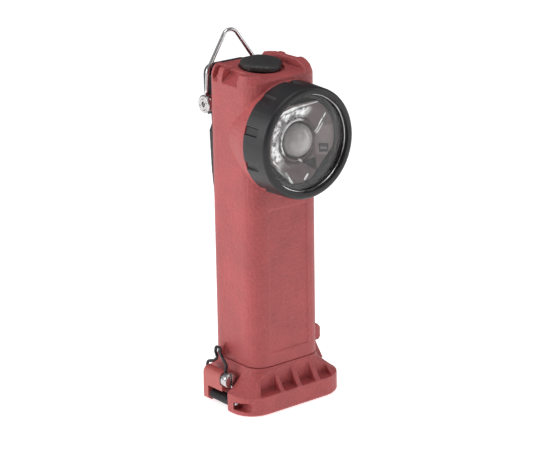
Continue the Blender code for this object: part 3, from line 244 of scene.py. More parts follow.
def lathe_lines():
    """Turning lines round an axis that passes through Centre, running along Axis."""
    tree, given, out = new_group("lathe_lines", [
        ("Centre", "vector", (0, 0, 0)), ("Axis", "vector", (1, 0, 0)), ("Scale", "value", 9000.0),
    ], [("Height", "value"), ("Tone", "value")])
    away = vector_calc(tree, "SUBTRACT", object_place(tree), given.outputs["Centre"])
    across = vector_calc(tree, "CROSS_PRODUCT", away[0], given.outputs["Axis"])
    radius = vector_calc(tree, "LENGTH", across[0])["Value"]
    turns = node(tree, "ShaderNodeMath", operation="SINE")
    feed(tree, turns.inputs[0], calc(tree, "MULTIPLY", radius, given.outputs["Scale"]))
    ripple = noise(tree, object_place(tree), 700.0, 2.0)
    height = calc(tree, "ADD", calc(tree, "MULTIPLY", turns.outputs[0], 0.35), ripple)
    feed(tree, out.inputs["Height"], height)
    feed(tree, out.inputs["Tone"], calc(tree, "ADD", calc(tree, "MULTIPLY", turns.outputs[0], 0.12), ripple))
    return tree


GRAIN, EDGES, DUST_AND_CORNER_SHADE = moulded_grain(), worn_edges(), corner_shade_and_dust()
MARKS, LATHE = handling_marks(), lathe_lines()


def effect(tree, group, **inputs):
    made = node(tree, "ShaderNodeGroup", node_tree=group)
    for key, value in inputs.items():
        feed(tree, made.inputs[key], value)
    return made.outputs


def new_finish(name, **constants):
    """A material with its Principled shader; constants are set on the shader's own sockets."""
    made = bpy.data.materials.new(name)
    made.use_nodes = True
    shader = made.node_tree.nodes["Principled BSDF"]
    for key, value in constants.items():
        feed(made.node_tree, shader.inputs[key.replace("_", " ")], value)
    return made, made.node_tree, shader


def raise_surface(tree, shader, height, distance, strength=1.0):
    bump = node(tree, "ShaderNodeBump", {"Height": height, "Distance": distance, "Strength": strength})
    feed(tree, shader.inputs["Normal"], bump.outputs[0])


def moulded(name, colour, rubbed, soil_and_shade, rough, grain=1500.0, depth=0.00006, shift=0.10, wear=0.6, dust_and_shade=0.5,
            **constants):
    """A moulded plastic or rubber: mottled colour, rubbed edges, soil and painted shade in corners, spark
    grain.
    """
    made, tree, shader = new_finish(name, **constants)
    skin = effect(tree, GRAIN, Scale=grain)
    edge = effect(tree, EDGES)["Mask"]
    dust_and_shade_mask = effect(tree, DUST_AND_CORNER_SHADE)["Mask"]
    marks = effect(tree, MARKS)
    dark = tuple(c * (1 - shift) for c in colour)
    light = tuple(min(1, c * (1 + shift) + 0.006) for c in colour)
    body = blend(tree, spread(tree, skin["Tone"], 0.3, 0.7), dark, light)
    body = blend(tree, calc(tree, "MULTIPLY", marks["Mask"], 0.5), body, rubbed)
    body = blend(tree, calc(tree, "MULTIPLY", edge, wear), body, rubbed)
    # corners and top faces take the fourth colour: painted shade where it is darker than the part, dust where
    # it is lighter
    body = blend(tree, calc(tree, "MULTIPLY", dust_and_shade_mask, dust_and_shade), body, soil_and_shade)
    feed(tree, shader.inputs["Base Color"], body)
    gloss = calc(tree, "ADD", spread(tree, skin["Tone"], 0.25, 0.75, rough - 0.05, rough + 0.07),
                 calc(tree, "MULTIPLY", edge, -0.14))
    gloss = calc(tree, "ADD", gloss, calc(tree, "MULTIPLY", dust_and_shade_mask, 0.12))
    feed(tree, shader.inputs["Roughness"], gloss)
    raise_surface(tree, shader, skin["Height"], depth)
    return made


def metal(name, colour, rough, tarnish, marks=0.35, wear=0.3, lathe=None, depth=0.000012):
    """Bare metal: brightness that wanders, fine marks, rubbed edges and, on turned faces, lathe lines."""
    made, tree, shader = new_finish(name, Metallic=1.0)
    skin = effect(tree, GRAIN, Scale=900.0, Mottle=140.0)
    edge = effect(tree, EDGES, Width=0.00025, Breakup=500.0)["Mask"]
    line = effect(tree, MARKS, Scale=420.0, Share=marks)
    body = blend(tree, spread(tree, skin["Tone"], 0.35, 0.7), colour, tarnish)
    bright = tuple(min(1.0, c * 1.25 + 0.05) for c in colour)
    body = blend(tree, calc(tree, "MULTIPLY", edge, wear), body, bright)
    height, gloss = line["Height"], skin["Tone"]
    if lathe:
        turned_lines = effect(tree, LATHE, Centre=tuple(lathe[0]), Axis=tuple(lathe[1]))
        height = calc(tree, "ADD", height, turned_lines["Height"])
        gloss = calc(tree, "ADD", calc(tree, "MULTIPLY", skin["Tone"], 0.5),
                     calc(tree, "MULTIPLY", turned_lines["Tone"], 0.5))
    feed(tree, shader.inputs["Base Color"], body)
    gloss = calc(tree, "ADD", spread(tree, gloss, 0.3, 0.7, rough * 0.8, rough * 1.35),
                 calc(tree, "MULTIPLY", line["Mask"], 0.25))
    feed(tree, shader.inputs["Roughness"], gloss)
    raise_surface(tree, shader, height, depth)
    return made


def blackened_steel():
    """Oiled black wire: dark oxide with steel showing where coils rub."""
    made, tree, shader = new_finish("blackened_steel", Metallic=0.85)
    skin = effect(tree, GRAIN, Scale=1200.0, Mottle=200.0)
    edge = spread(tree, skin["Tone"], 0.52, 0.72)
    body = blend(tree, edge, (0.035, 0.033, 0.036), (0.16, 0.15, 0.16))
    feed(tree, shader.inputs["Base Color"], body)
    feed(tree, shader.inputs["Roughness"], spread(tree, skin["Tone"], 0.3, 0.7, 0.26, 0.42))
    raise_surface(tree, shader, skin["Height"], 0.00001)
    return made


def lens_glass():
    """Clear hard-coated lens with faint smears."""
    made, tree, shader = new_finish("lens_glass", Metallic=0.0, IOR=1.35, Specular_IOR_Level=0.16)
    shader.inputs["Transmission Weight"].default_value = 1.0
    skin = effect(tree, GRAIN, Scale=60.0, Mottle=40.0)
    body = blend(tree, spread(tree, skin["Tone"], 0.3, 0.7), (0.97, 0.98, 0.985), (0.99, 0.99, 0.985))
    feed(tree, shader.inputs["Base Color"], body)
    feed(tree, shader.inputs["Roughness"], spread(tree, skin["Tone"], 0.55, 0.85, 0.0, 0.012))
    raise_surface(tree, shader, skin["Height"], 0.000002, 0.1)
    # shadow and diffuse rays pass straight through, so the optic behind it is lit
    path = node(tree, "ShaderNodeLightPath").outputs
    unseen = calc(tree, "MAXIMUM", path["Is Shadow Ray"], path["Is Diffuse Ray"])
    open_way = node(tree, "ShaderNodeBsdfTransparent")
    mixed = node(tree, "ShaderNodeMixShader", {0: unseen, 1: shader.outputs[0], 2: open_way.outputs[0]})
    feed(tree, tree.nodes["Material Output"].inputs["Surface"], mixed.outputs[0])
    return made


def near_line(tree, flat, a, b, width, blur=0.35 * MM):
    """1 within width of the line from a to b, given in the lens's own plane."""
    start, stop = Vector((a[0], 0, a[1])) * MM, Vector((b[0], 0, b[1])) * MM
    run = stop - start
    away = vector_calc(tree, "SUBTRACT", flat, tuple(start))[0]
    share = vector_calc(tree, "DOT_PRODUCT", away, tuple(run / run.length_squared))
    on = calc(tree, "ADD", share["Value"], 0.0, True)
    foot = node(tree, "ShaderNodeVectorMath", operation="SCALE")
    foot.inputs[0].default_value = tuple(run)
    feed(tree, foot.inputs["Scale"], on)
    gap = vector_calc(tree, "DISTANCE", away, foot.outputs[0])
    return spread(tree, gap["Value"], width * MM + blur, width * MM, smooth=True)


def half_plane(tree, parts, a, b, blur=0.25 * MM):
    """1 on the left of the line from a to b in the lens's own plane."""
    ax, az, dx, dz = a[0] * MM, a[1] * MM, b[0] - a[0], b[1] - a[1]
    size = math.hypot(dx, dz)
    nx, nz = -dz / size, dx / size
    value = calc(tree, "ADD", calc(tree, "MULTIPLY", parts[0], nx), calc(tree, "MULTIPLY", parts[2], nz))
    return spread(tree, calc(tree, "SUBTRACT", value, nx * ax + nz * az), -blur, blur)


def inside_shape(tree, parts, corners):
    """1 inside a convex outline whose corners run anticlockwise."""
    mask = None
    for a, b in zip(corners, corners[1:] + corners[:1]):
        side = half_plane(tree, parts, a, b)
        mask = side if mask is None else calc(tree, "MINIMUM", mask, side)
    return mask


def optic_painted_reflections():
    """The optic's face: smoky clear plastic with painted reflections: a painted band of bright facet glints
    on its upper left, a painted highlight crescent, painted highlight streaks, and painted dark reflections
    and shade lines.
    """
    made, tree, shader = new_finish("optic_painted_reflections", IOR=1.45, Specular_IOR_Level=0.25)
    away = vector_calc(tree, "SUBTRACT", object_place(tree), tuple(HEAD))[0]
    flat = vector_calc(tree, "MULTIPLY", away, (1.0, 0.0, 1.0))[0]
    parts = node(tree, "ShaderNodeSeparateXYZ", {0: flat}).outputs
    radius = vector_calc(tree, "LENGTH", flat)["Value"]
    unit = vector_calc(tree, "NORMALIZE", flat)[0]
    # lean: how far a point lies towards the upper left, the lit side; the painted highlights below are
    # brighter there
    lean = vector_calc(tree, "DOT_PRODUCT", unit, (-0.80, 0.0, 0.60))["Value"]
    skin = effect(tree, GRAIN, Scale=420.0, Mottle=120.0)
    tone = skin["Tone"]
    ragged = calc(tree, "MULTIPLY", calc(tree, "SUBTRACT", tone, 0.5), 5.0 * MM)
    broken = calc(tree, "ADD", radius, ragged)

    def band(low, high, blur):
        """1 between two radii, with a ragged edge."""
        low, high, blur = low * MM, high * MM, blur * MM
        return calc(tree, "MULTIPLY", spread(tree, broken, low - blur, low + blur),
                    spread(tree, broken, high + blur, high - blur))

    smoke = blend(tree, spread(tree, tone, 0.35, 0.68), (0.085, 0.054, 0.056), (0.150, 0.108, 0.112))
    # painted reflection: a lighter wedge on the right side of the face
    right = inside_shape(tree, parts, [(11.0, -9.0), (26, -12), (26, 5), (11.6, 5.4)])
    body = blend(tree, calc(tree, "MULTIPLY", right, 0.75), smoke, (0.225, 0.180, 0.180))
    # painted reflection: a band of bright facet glints, strongest on the upper left, broken by painted dark
    # specks
    bright = calc(tree, "MULTIPLY", band(11.6, 18.0, 0.7), spread(tree, lean, 0.10, 0.42))
    glint_specks = spread(tree, noise(tree, object_place(tree), 520.0, 3.0, 0.6), 0.56, 0.62)
    painted_glints = blend(tree, spread(tree, noise(tree, object_place(tree), 300.0, 3.0, 0.6), 0.42, 0.58),
                   (0.20, 0.19, 0.195), (0.98, 0.98, 0.98))
    painted_glints = blend(tree, calc(tree, "MULTIPLY", glint_specks, 0.8), painted_glints, (0.03, 0.025, 0.03))
    body = blend(tree, bright, body, painted_glints)
    # painted highlight: a bright crescent on the inner edge, on the left side
    inner = calc(tree, "MULTIPLY", band(9.7, 11.1, 0.3), spread(tree, lean, 0.25, 0.5))
    body = blend(tree, inner, body, (0.93, 0.93, 0.93))
    # painted shade: dark rings in the troughs of the face
    trough_shade = calc(tree, "MAXIMUM", band(8.4, 9.4, 0.25), calc(tree, "MULTIPLY", band(11.2, 11.8, 0.2), 0.8))
    body = blend(tree, calc(tree, "MULTIPLY", trough_shade, 0.8), body, (0.035, 0.03, 0.032))
    # painted reflections: a dark triangle, and a dark box with a grey line across it
    dark_reflection_triangle = inside_shape(tree, parts, [(2.3, -11.6), (10.6, -17.8), (10.4, -10.4)])
    body = blend(tree, calc(tree, "MULTIPLY", dark_reflection_triangle, 0.9), body, (0.006, 0.004, 0.005))
    dark_reflection_box = inside_shape(tree, parts, [(12.8, -8.2), (18.1, -8.8), (18.1, -4.4), (12.8, -3.6)])
    body = blend(tree, calc(tree, "MULTIPLY", dark_reflection_box, 0.9), body, (0.010, 0.010, 0.012))
    body = blend(tree, near_line(tree, flat, (14.0, -6.3), (16.6, -6.8), 0.5), body, (0.16, 0.15, 0.155))
    # painted highlight streaks: thin white lines where the facets reflect light
    marks = [((2.4, -20.3), (4.4, -18.2), 0.35, 1.0), ((16.2, 11.5), (13.6, 7.3), 0.22, 0.9),
             ((13.6, 7.3), (11.4, 2.5), 0.25, 0.8), ((15.0, 6.6), (12.2, 1.6), 0.12, 0.7),
             ((-17.2, -7.6), (-10.0, -17.4), 0.35, 0.9), ((-9.4, -15.2), (-5.4, -21.4), 0.45, 0.95),
             ((-14.0, -12.6), (-6.0, -20.6), 0.18, 0.7), ((-12.0, 16.0), (-3.0, 17.4), 0.45, 0.95),
             ((-3.0, 17.4), (13.0, 18.6), 0.20, 0.6), ((-14.6, 14.4), (-9.0, 16.2), 0.25, 0.8),
             ((-15.4, -10.2), (-13.4, -12.8), 0.5, 0.9), ((0.6, -10.2), (2.6, -11.4), 0.3, 0.8)]
    for a, b, width, share in marks:
        body = blend(tree, calc(tree, "MULTIPLY", near_line(tree, flat, a, b, width), share), body,
                     (0.95, 0.95, 0.94))
    # painted shade: dark lines beside the highlight streaks
    painted_shade_lines = [((-16.2, -9.6), (-8.0, -18.6), 0.35), ((-10.6, -13.6), (-8.2, -17.0), 0.3),
              ((14.4, 10.6), (15.4, 8.0), 0.2), ((12.6, 6.0), (10.6, 1.4), 0.2),
              ((-9.0, 14.9), (3.0, 17.0), 0.2)]
    for a, b, width in painted_shade_lines:
        body = blend(tree, calc(tree, "MULTIPLY", near_line(tree, flat, a, b, width, 0.2 * MM), 0.8), body,
                     (0.03, 0.026, 0.028))
    feed(tree, shader.inputs["Base Color"], body)
    feed(tree, shader.inputs["Metallic"], calc(tree, "MULTIPLY", calc(tree, "MAXIMUM", bright, inner), 0.35))
    feed(tree, shader.inputs["Roughness"], spread(tree, tone, 0.3, 0.7, 0.08, 0.2))
    raise_surface(tree, shader, tone, 0.0006, 0.3)
    return made


def dome_plastic():
    """The frosted centre of the optic."""
    made, tree, shader = new_finish("dome_plastic", IOR=1.5)
    skin = effect(tree, GRAIN, Scale=700.0, Mottle=70.0)
    body = blend(tree, spread(tree, skin["Tone"], 0.3, 0.7), (0.29, 0.265, 0.265), (0.38, 0.355, 0.35))
    feed(tree, shader.inputs["Base Color"], body)
    feed(tree, shader.inputs["Roughness"], spread(tree, skin["Tone"], 0.3, 0.7, 0.22, 0.34))
    feed(tree, shader.inputs["Coat Weight"], spread(tree, skin["Tone"], 0.3, 0.7, 0.4, 0.7))
    raise_surface(tree, shader, skin["Height"], 0.00001, 0.5)
    return made


def circuit_board():
    """Solder mask over etched copper tracks."""
    made, tree, shader = new_finish("circuit_board")
    tracks = node(tree, "ShaderNodeTexVoronoi", {"Vector": object_place(tree), "Scale": 420.0},
                  distance="CHEBYCHEV")
    line = spread(tree, tracks.outputs["Distance"], 0.30, 0.34)
    skin = effect(tree, GRAIN, Scale=1100.0, Mottle=200.0)
    body = blend(tree, line, (0.012, 0.10, 0.045), (0.03, 0.19, 0.085))
    body = blend(tree, calc(tree, "MULTIPLY", skin["Tone"], 0.2), body, (0.01, 0.05, 0.03))
    feed(tree, shader.inputs["Base Color"], body)
    feed(tree, shader.inputs["Roughness"], spread(tree, skin["Tone"], 0.3, 0.7, 0.25, 0.4))
    raise_surface(tree, shader, line, 0.00003, 0.6)
    return made


def cell_sleeve():
    """Shrunk sleeve on a cell: blue with a darker band at the foot and a bright shoulder at the top."""
    made, tree, shader = new_finish("cell_sleeve", Coat_Weight=0.4)
    skin = effect(tree, GRAIN, Scale=800.0, Mottle=70.0)
    high = node(tree, "ShaderNodeSeparateXYZ", {0: object_place(tree)}).outputs[2]
    foot_top, band_top, shoulder = 24.8 * MM, 36.0 * MM, 91.4 * MM
    band = spread(tree, high, band_top, band_top + 0.4 * MM)
    tip = spread(tree, high, shoulder, shoulder + 0.2 * MM)
    body = blend(tree, band, (0.012, 0.03, 0.07), (0.03, 0.13, 0.30))
    body = blend(tree, calc(tree, "MULTIPLY", skin["Tone"], 0.25), body, (0.01, 0.04, 0.10))
    body = blend(tree, tip, body, (0.62, 0.62, 0.62))
    foot = spread(tree, high, foot_top + 0.1 * MM, foot_top)
    body = blend(tree, foot, body, (0.62, 0.62, 0.62))
    feed(tree, shader.inputs["Base Color"], body)
    feed(tree, shader.inputs["Metallic"], calc(tree, "MAXIMUM", tip, foot))
    feed(tree, shader.inputs["Roughness"], spread(tree, skin["Tone"], 0.3, 0.7, 0.24, 0.36))
    raise_surface(tree, shader, skin["Height"], 0.00002, 0.5)
    return made


# the salmon soil colour is a darker salmon: in corners it is painted shade, on top faces soil
SALMON, SALMON_RUBBED, SALMON_SHADE_AND_SOIL = (0.385, 0.062, 0.064), (0.55, 0.17, 0.16), (0.17, 0.035, 0.035)
CHARCOAL, CHARCOAL_RUBBED, CHARCOAL_SOIL = (0.012, 0.011, 0.013), (0.075, 0.07, 0.075), (0.05, 0.043, 0.04)

# each moulded look's fourth colour goes into corners: darker ones (salmon, red lead, phosphor) paint shade
# there, lighter ones (charcoal, rubber, black lead) are dust
LOOKS = {
    "nylon": moulded("salmon_nylon", SALMON, SALMON_RUBBED, SALMON_SHADE_AND_SOIL, 0.50,
                     grain=1000, depth=0.00045, shift=0.22),
    "lever_nylon": moulded("lever_nylon", (0.43, 0.082, 0.075), (0.62, 0.22, 0.19), SALMON_SHADE_AND_SOIL, 0.36,
                           grain=1100, depth=0.00003, wear=0.45, dust_and_shade=0.4),
    "black_nylon": moulded("charcoal_nylon", CHARCOAL, CHARCOAL_RUBBED, CHARCOAL_SOIL, 0.38,
                           grain=1000, depth=0.00008, shift=0.2, wear=0.5, dust_and_shade=0.4,
                           Specular_IOR_Level=0.36),
    "rubber": moulded("black_rubber", (0.022, 0.02, 0.021), (0.06, 0.055, 0.055), (0.075, 0.062, 0.058), 0.42,
                      grain=1400, depth=0.0006, shift=0.6, wear=0.5, dust_and_shade=0.35),
    "steel": metal("polished_steel", (0.66, 0.65, 0.66), 0.13, (0.50, 0.48, 0.49)),
    "black_steel": blackened_steel(),
    "clear": lens_glass(),
    "optic": dome_plastic(),
    "aluminium": metal("machined_aluminium", (0.80, 0.81, 0.82), 0.30, (0.66, 0.67, 0.68),
                       lathe=(HEAD, AHEAD)),
    "board": circuit_board(),
    "phosphor": moulded("lamp_phosphor", (0.80, 0.62, 0.16), (0.86, 0.72, 0.3), (0.5, 0.38, 0.1), 0.45,
                        grain=2500, depth=0.00001, dust_and_shade=0.1),
    "brass": metal("bright_brass", (0.80, 0.58, 0.24), 0.22, (0.62, 0.42, 0.17)),
    "cell_wrap": cell_sleeve(),
    "lead_black": moulded("black_lead", (0.02, 0.02, 0.022), (0.06, 0.06, 0.06), (0.05, 0.045, 0.04), 0.42,
                          depth=0.00001, dust_and_shade=0.2),
    "lead_red": moulded("red_lead", (0.50, 0.02, 0.02), (0.6, 0.1, 0.08), (0.2, 0.02, 0.02), 0.42,
                        depth=0.00001, dust_and_shade=0.2),
}
OPTIC_REFLECTION_PAINT = optic_painted_reflections()
SCREW_LOOK = metal("latch_screw_steel", (0.62, 0.61, 0.62), 0.20, (0.42, 0.40, 0.41),
                   marks=0.2, depth=0.000003, lathe=(Vector((LATCH_X, 0, SCREW_Z)), Vector((0, 1, 0))))
PIVOT_LOOK = metal("pivot_screw_steel", (0.56, 0.55, 0.55), 0.18, (0.34, 0.32, 0.32),
                   marks=0.2, depth=0.000003, lathe=(PIVOT, Vector((1, 0, 0))))


# ---------------------------------------------------------------- shape tools

def new_object(name, mesh, look=None):
    made = bpy.data.objects.new(name, mesh)
    bpy.context.scene.collection.objects.link(made)
    if look:
        mesh.materials.clear()
        mesh.materials.append(look)
    return made


def from_bmesh(name, bm, look=None, crease=40.0):
    bmesh.ops.remove_doubles(bm, verts=bm.verts, dist=1e-7)
    bmesh.ops.recalc_face_normals(bm, faces=bm.faces)
    mesh = bpy.data.meshes.new(name)
    bm.to_mesh(mesh)
    bm.free()
    mesh.shade_smooth()
    mesh.set_sharp_from_angle(angle=math.radians(crease))
    return new_object(name, mesh, look)


def baked(obj, look=None):
    """The object with its modifiers made into one plain mesh."""
    bpy.context.view_layer.update()
    seen = obj.evaluated_get(bpy.context.evaluated_depsgraph_get())
    mesh = bpy.data.meshes.new_from_object(seen)
    name = obj.name
    bpy.data.objects.remove(obj, do_unlink=True)
    mesh.name = name
    return new_object(name, mesh, look)


def place_piece(obj, body, slot, *nodes):
    if nodes:
        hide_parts(*nodes)
    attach(obj, body)
    return obj


def softened(points, radius, steps=3, closed=True):
    """A flat outline with its corners rounded."""
    made, count = [], len(points)
    points = [Vector(p) for p in points]
    for i, b in enumerate(points):
        if not closed and i in (0, count - 1):
            made.append(tuple(b))
            continue
        a, c = points[i - 1], points[(i + 1) % count]
        back, ahead = a - b, c - b
        reach = min(radius, 0.42 * back.length, 0.42 * ahead.length)
        start, end = b + back.normalized() * reach, b + ahead.normalized() * reach
        for k in range(steps + 1):
            t = k / steps
            made.append(tuple(start * (1 - t) ** 2 + b * 2 * t * (1 - t) + end * t ** 2))
    return made


def facing(axis, centre):
    turn = Vector((0, 0, 1)).rotation_difference(Vector(axis)).to_matrix().to_4x4()
    return Matrix.Translation(Vector(centre)) @ turn


def turned(name, profile, axis, centre, look=None, steps=96, closed=True, shape=None, crease=40.0):
    """Turns (radius, height) points about axis; shape(radius, height, angle) may alter a radius."""
    bm = bmesh.new()
    where = facing(axis, centre)
    rows = []
    for r, h in profile:
        if r < 1e-9:
            rows.append([bm.verts.new(where @ Vector((0, 0, h)))])
            continue
        row = []
        for i in range(steps):
            a = 2 * math.pi * i / steps
            reach = shape(r, h, a) if shape else r
            row.append(bm.verts.new(where @ Vector((reach * math.cos(a), reach * math.sin(a), h))))
        rows.append(row)
    pairs = list(zip(rows, rows[1:]))
    if closed:
        pairs.append((rows[-1], rows[0]))
    for low, high in pairs:
        for i in range(steps):
            j = (i + 1) % steps
            if len(low) == 1 and len(high) == 1:
                continue
            if len(low) == 1:
                bm.faces.new((low[0], high[j], high[i]))
            elif len(high) == 1:
                bm.faces.new((low[i], low[j], high[0]))
            else:
                bm.faces.new((low[i], low[j], high[j], high[i]))
    return from_bmesh(name, bm, look, crease)


def block(low, high):
    """A cutting block."""
    bm = bmesh.new()
    bmesh.ops.create_cube(bm, size=1.0)
    low, high = Vector(low), Vector(high)
    for v in bm.verts:
        v.co = Vector(v.co[k] * (high - low)[k] + (high + low)[k] / 2 for k in range(3))
    return from_bmesh("cutting_block", bm)


def cut(obj, tools):
    for tool in tools:
        made = obj.modifiers.new("cut", "BOOLEAN")
        made.operation, made.solver, made.object = "DIFFERENCE", "EXACT", tool
    done = baked(obj)
    for tool in tools:
        bpy.data.objects.remove(tool, do_unlink=True)
    return done


def rounded_copy(name, source, look, voxel, passes=3, limit=150000, tools=()):
    """A moulded part with softened edges, from its solid: cut, rounded and thinned."""
    bm = bmesh.new()
    bm.from_mesh(frame["nodes"][source].data)
    bmesh.ops.remove_doubles(bm, verts=bm.verts, dist=1e-6)
    mesh = bpy.data.meshes.new(name)
    bm.to_mesh(mesh)
    bm.free()
    obj = new_object(name, mesh)
    if tools:
        obj = cut(obj, tools)
    remesh = obj.modifiers.new("skin", "REMESH")
    remesh.mode, remesh.voxel_size, remesh.adaptivity = "VOXEL", voxel, 0.0
    ease = obj.modifiers.new("ease", "SMOOTH")
    ease.factor, ease.iterations = 0.5, passes
    obj = baked(obj)
    count = len(obj.data.polygons) * 2
    if count > limit:
        thin = obj.modifiers.new("thin", "DECIMATE")
        thin.ratio = limit / count
        obj = baked(obj)
    obj.data.shade_smooth()
    weigh = obj.modifiers.new("weigh", "WEIGHTED_NORMAL")
    weigh.weight = 60
    return baked(obj, look)


# ---------------------------------------------------------------- geometry node trees

def new_tree(name, inputs):
    tree = bpy.data.node_groups.new(name, "GeometryNodeTree")
    tree.interface.new_socket(name="Geometry", in_out="INPUT", socket_type="NodeSocketGeometry")
    ids = {}
    kinds = {"value": "NodeSocketFloat", "count": "NodeSocketInt", "look": "NodeSocketMaterial"}
    for label, kind in inputs:
        made = tree.interface.new_socket(name=label, in_out="INPUT", socket_type=kinds[kind])
        ids[label] = made.identifier
    tree.interface.new_socket(name="Geometry", in_out="OUTPUT", socket_type="NodeSocketGeometry")
    return tree, tree.nodes.new("NodeGroupInput"), tree.nodes.new("NodeGroupOutput"), ids


def sweep_along(tree, given, out, line, rim):
    """Sweeps the rim along the line, makes it real and dresses it."""
    sweep = node(tree, "GeometryNodeCurveToMesh", {"Curve": line, "Profile Curve": rim.outputs[0],
                                                   "Fill Caps": True})
    real = node(tree, "GeometryNodeRealizeInstances", {0: sweep.outputs[0]})
    smooth = node(tree, "GeometryNodeSetShadeSmooth", {"Geometry": real.outputs[0]})
    dress = node(tree, "GeometryNodeSetMaterial", {"Geometry": smooth.outputs[0],
                                                   "Material": given.outputs["Look"]})
    feed(tree, out.inputs[0], dress.outputs[0])


def swept_wire_tree():
    """A round wire swept along a curve."""
    tree, given, out, ids = new_tree("swept_wire", [
        ("Radius", "value"), ("Sides", "count"), ("Look", "look")])
    rim = node(tree, "GeometryNodeCurvePrimitiveCircle")
    feed(tree, rim.inputs["Resolution"], given.outputs["Sides"])
    feed(tree, rim.inputs["Radius"], given.outputs["Radius"])
    sweep_along(tree, given, out, given.outputs["Geometry"], rim)
    return tree, ids


def coil_tree():
    """A wound spring standing on the origin along Z."""
    tree, given, out, ids = new_tree("wound_coil", [
        ("Turns", "value"), ("Foot Radius", "value"), ("Head Radius", "value"), ("Height", "value"),
        ("Wire", "value"), ("Look", "look")])
    line = node(tree, "GeometryNodeCurveSpiral", {"Resolution": 40})
    for a, b in (("Rotations", "Turns"), ("Start Radius", "Foot Radius"), ("End Radius", "Head Radius"),
                 ("Height", "Height")):
        feed(tree, line.inputs[a], given.outputs[b])
    rim = node(tree, "GeometryNodeCurvePrimitiveCircle", {"Resolution": 14})
    feed(tree, rim.inputs["Radius"], given.outputs["Wire"])
    sweep_along(tree, given, out, line.outputs[0], rim)
    return tree, ids


WIRE_TREE, WIRE_IDS = swept_wire_tree()
COIL_TREE, COIL_IDS = coil_tree()


def set_inputs(modifier, ids, values):
    for label, value in values.items():
        modifier[ids[label]] = value


def outward(mesh):
    """Turns a closed mesh's faces outwards."""
    bm = bmesh.new()
    bm.from_mesh(mesh)
    bmesh.ops.remove_doubles(bm, verts=bm.verts, dist=1e-7)
    bmesh.ops.recalc_face_normals(bm, faces=bm.faces)
    bm.to_mesh(mesh)
    bm.free()
    mesh.shade_smooth()
    mesh.set_sharp_from_angle(angle=math.radians(55))


def swept(name, route, radius, look, sides=20):
    """A wire along a route, from the swept wire tree."""
    curve = bpy.data.curves.new(name + "_path", "CURVE")
    curve.dimensions = "3D"
    line = curve.splines.new("POLY")
    line.points.add(len(route) - 1)
    for point, p in zip(line.points, route):
        point.co = (*p, 1.0)
    obj = bpy.data.objects.new(name, curve)
    bpy.context.scene.collection.objects.link(obj)
    modifier = obj.modifiers.new("sweep", "NODES")
    modifier.node_group = WIRE_TREE
    set_inputs(modifier, WIRE_IDS, {"Radius": radius, "Sides": sides, "Look": look})
    obj = baked(obj, look)
    outward(obj.data)
    return obj


def coil(name, look, place, turns, foot, head, height, wire):
    """A spring from the coil tree, moved to its place."""
    mesh = bpy.data.meshes.new(name)
    mesh.from_pydata([(0, 0, 0)], [], [])
    obj = new_object(name, mesh)
    modifier = obj.modifiers.new("wind", "NODES")
    modifier.node_group = COIL_TREE
    set_inputs(modifier, COIL_IDS, {"Turns": turns, "Foot Radius": foot, "Head Radius": head,
                                    "Height": height, "Wire": wire, "Look": look})
    obj = baked(obj, look)
    obj.data.transform(place)
    outward(obj.data)
    return obj


def bent(points, radius, steps=10):
    """Rounds the corners of an open route."""
    points = [Vector(p) for p in points]
    route = [points[0]]
    for a, b, c in zip(points, points[1:], points[2:]):
        back, ahead = (a - b).normalized(), (c - b).normalized()
        half = back.angle(ahead) / 2
        reach = min(radius / math.tan(half), 0.45 * (a - b).length, 0.45 * (c - b).length)
        start, end = b + back * reach, b + ahead * reach
        for i in range(steps + 1):
            t = i / steps
            route.append(start * (1 - t) ** 2 + b * 2 * t * (1 - t) + end * t ** 2)
    route.append(points[-1])
    return route


# ---------------------------------------------------------------- moulded nylon parts

def make_barrel():
    made = rounded_copy("barrel_shell", "barrel_housing", LOOKS["nylon"],
                        voxel=0.34 * MM, passes=3, limit=190000)
    place_piece(made, "barrel", "nylon", "barrel_housing")


def make_tail_cap():
    made = rounded_copy("foot_cap", "tail_cap", LOOKS["nylon"],
                        voxel=0.30 * MM, passes=3, limit=170000)
    place_piece(made, "tail_cap_group", "nylon", "tail_cap")


def make_lever():
    made = rounded_copy("latch_tab", "latch_lever", LOOKS["lever_nylon"],
                        voxel=0.2 * MM, passes=4, limit=60000)
    place_piece(made, "lever_group", "lever_nylon", "latch_lever")


def make_clip():
    made = rounded_copy("belt_clip", "spring_clip", LOOKS["black_nylon"],
                        voxel=0.26 * MM, passes=4, limit=110000)
    place_piece(made, "clip_body", "black_nylon", "spring_clip")


# ---------------------------------------------------------------- head

def notch_reach(r, h, a):
    """The bezel's radius with its finger notches."""
    if r < 28.3 * MM:
        return r
    share = 1.0 - min(1.0, max(0.0, (h - RING_BAND + 0.35 * MM) / (0.5 * MM)))
    if share <= 0:
        return r
    pitch = 2 * math.pi / GRIP_NOTCHES
    off = (a - math.pi / 2 + pitch / 2) % pitch - pitch / 2
    beside = abs(math.sin(off)) * r
    inside = 1.0 - min(1.0, max(0.0, (beside - NOTCH_HALF + 0.25 * MM) / (0.45 * MM)))
    floor = NOTCH_R / math.cos(off)
    return r + (min(r, floor) - r) * share * inside


def make_bezel():
    back, front, inner = RING_BACK, RING_FRONT, SPIGOT_R + 0.3 * MM
    profile = softened([
        (inner, back), (RING_R - 0.4 * MM, back), (RING_R, back + 0.5 * MM), (RING_BAND_R, RING_BAND),
        (28.7 * MM, front - 1.3 * MM), (28.1 * MM, front - 0.5 * MM), (27.1 * MM, front),
        (RING_OPEN_R, front), (RING_OPEN_R, front - 2.3 * MM), (inner + 0.1 * MM, front - 2.3 * MM),
    ], 0.3 * MM, 3)
    dense = []
    for a, b in zip(profile, profile[1:] + profile[:1]):
        dense.append(a)
        gap = math.dist(a, b)
        if min(a[0], b[0]) > 28.2 * MM and gap > 0.5 * MM:
            steps = int(gap / (0.25 * MM))
            dense += [tuple(a[k] + (b[k] - a[k]) * i / steps for k in (0, 1)) for i in range(1, steps)]
    made = turned("head_bezel", dense, AHEAD, HEAD, LOOKS["black_nylon"], 540, shape=notch_reach, crease=50)
    place_piece(made, "barrel", "black_nylon", "face_ring")


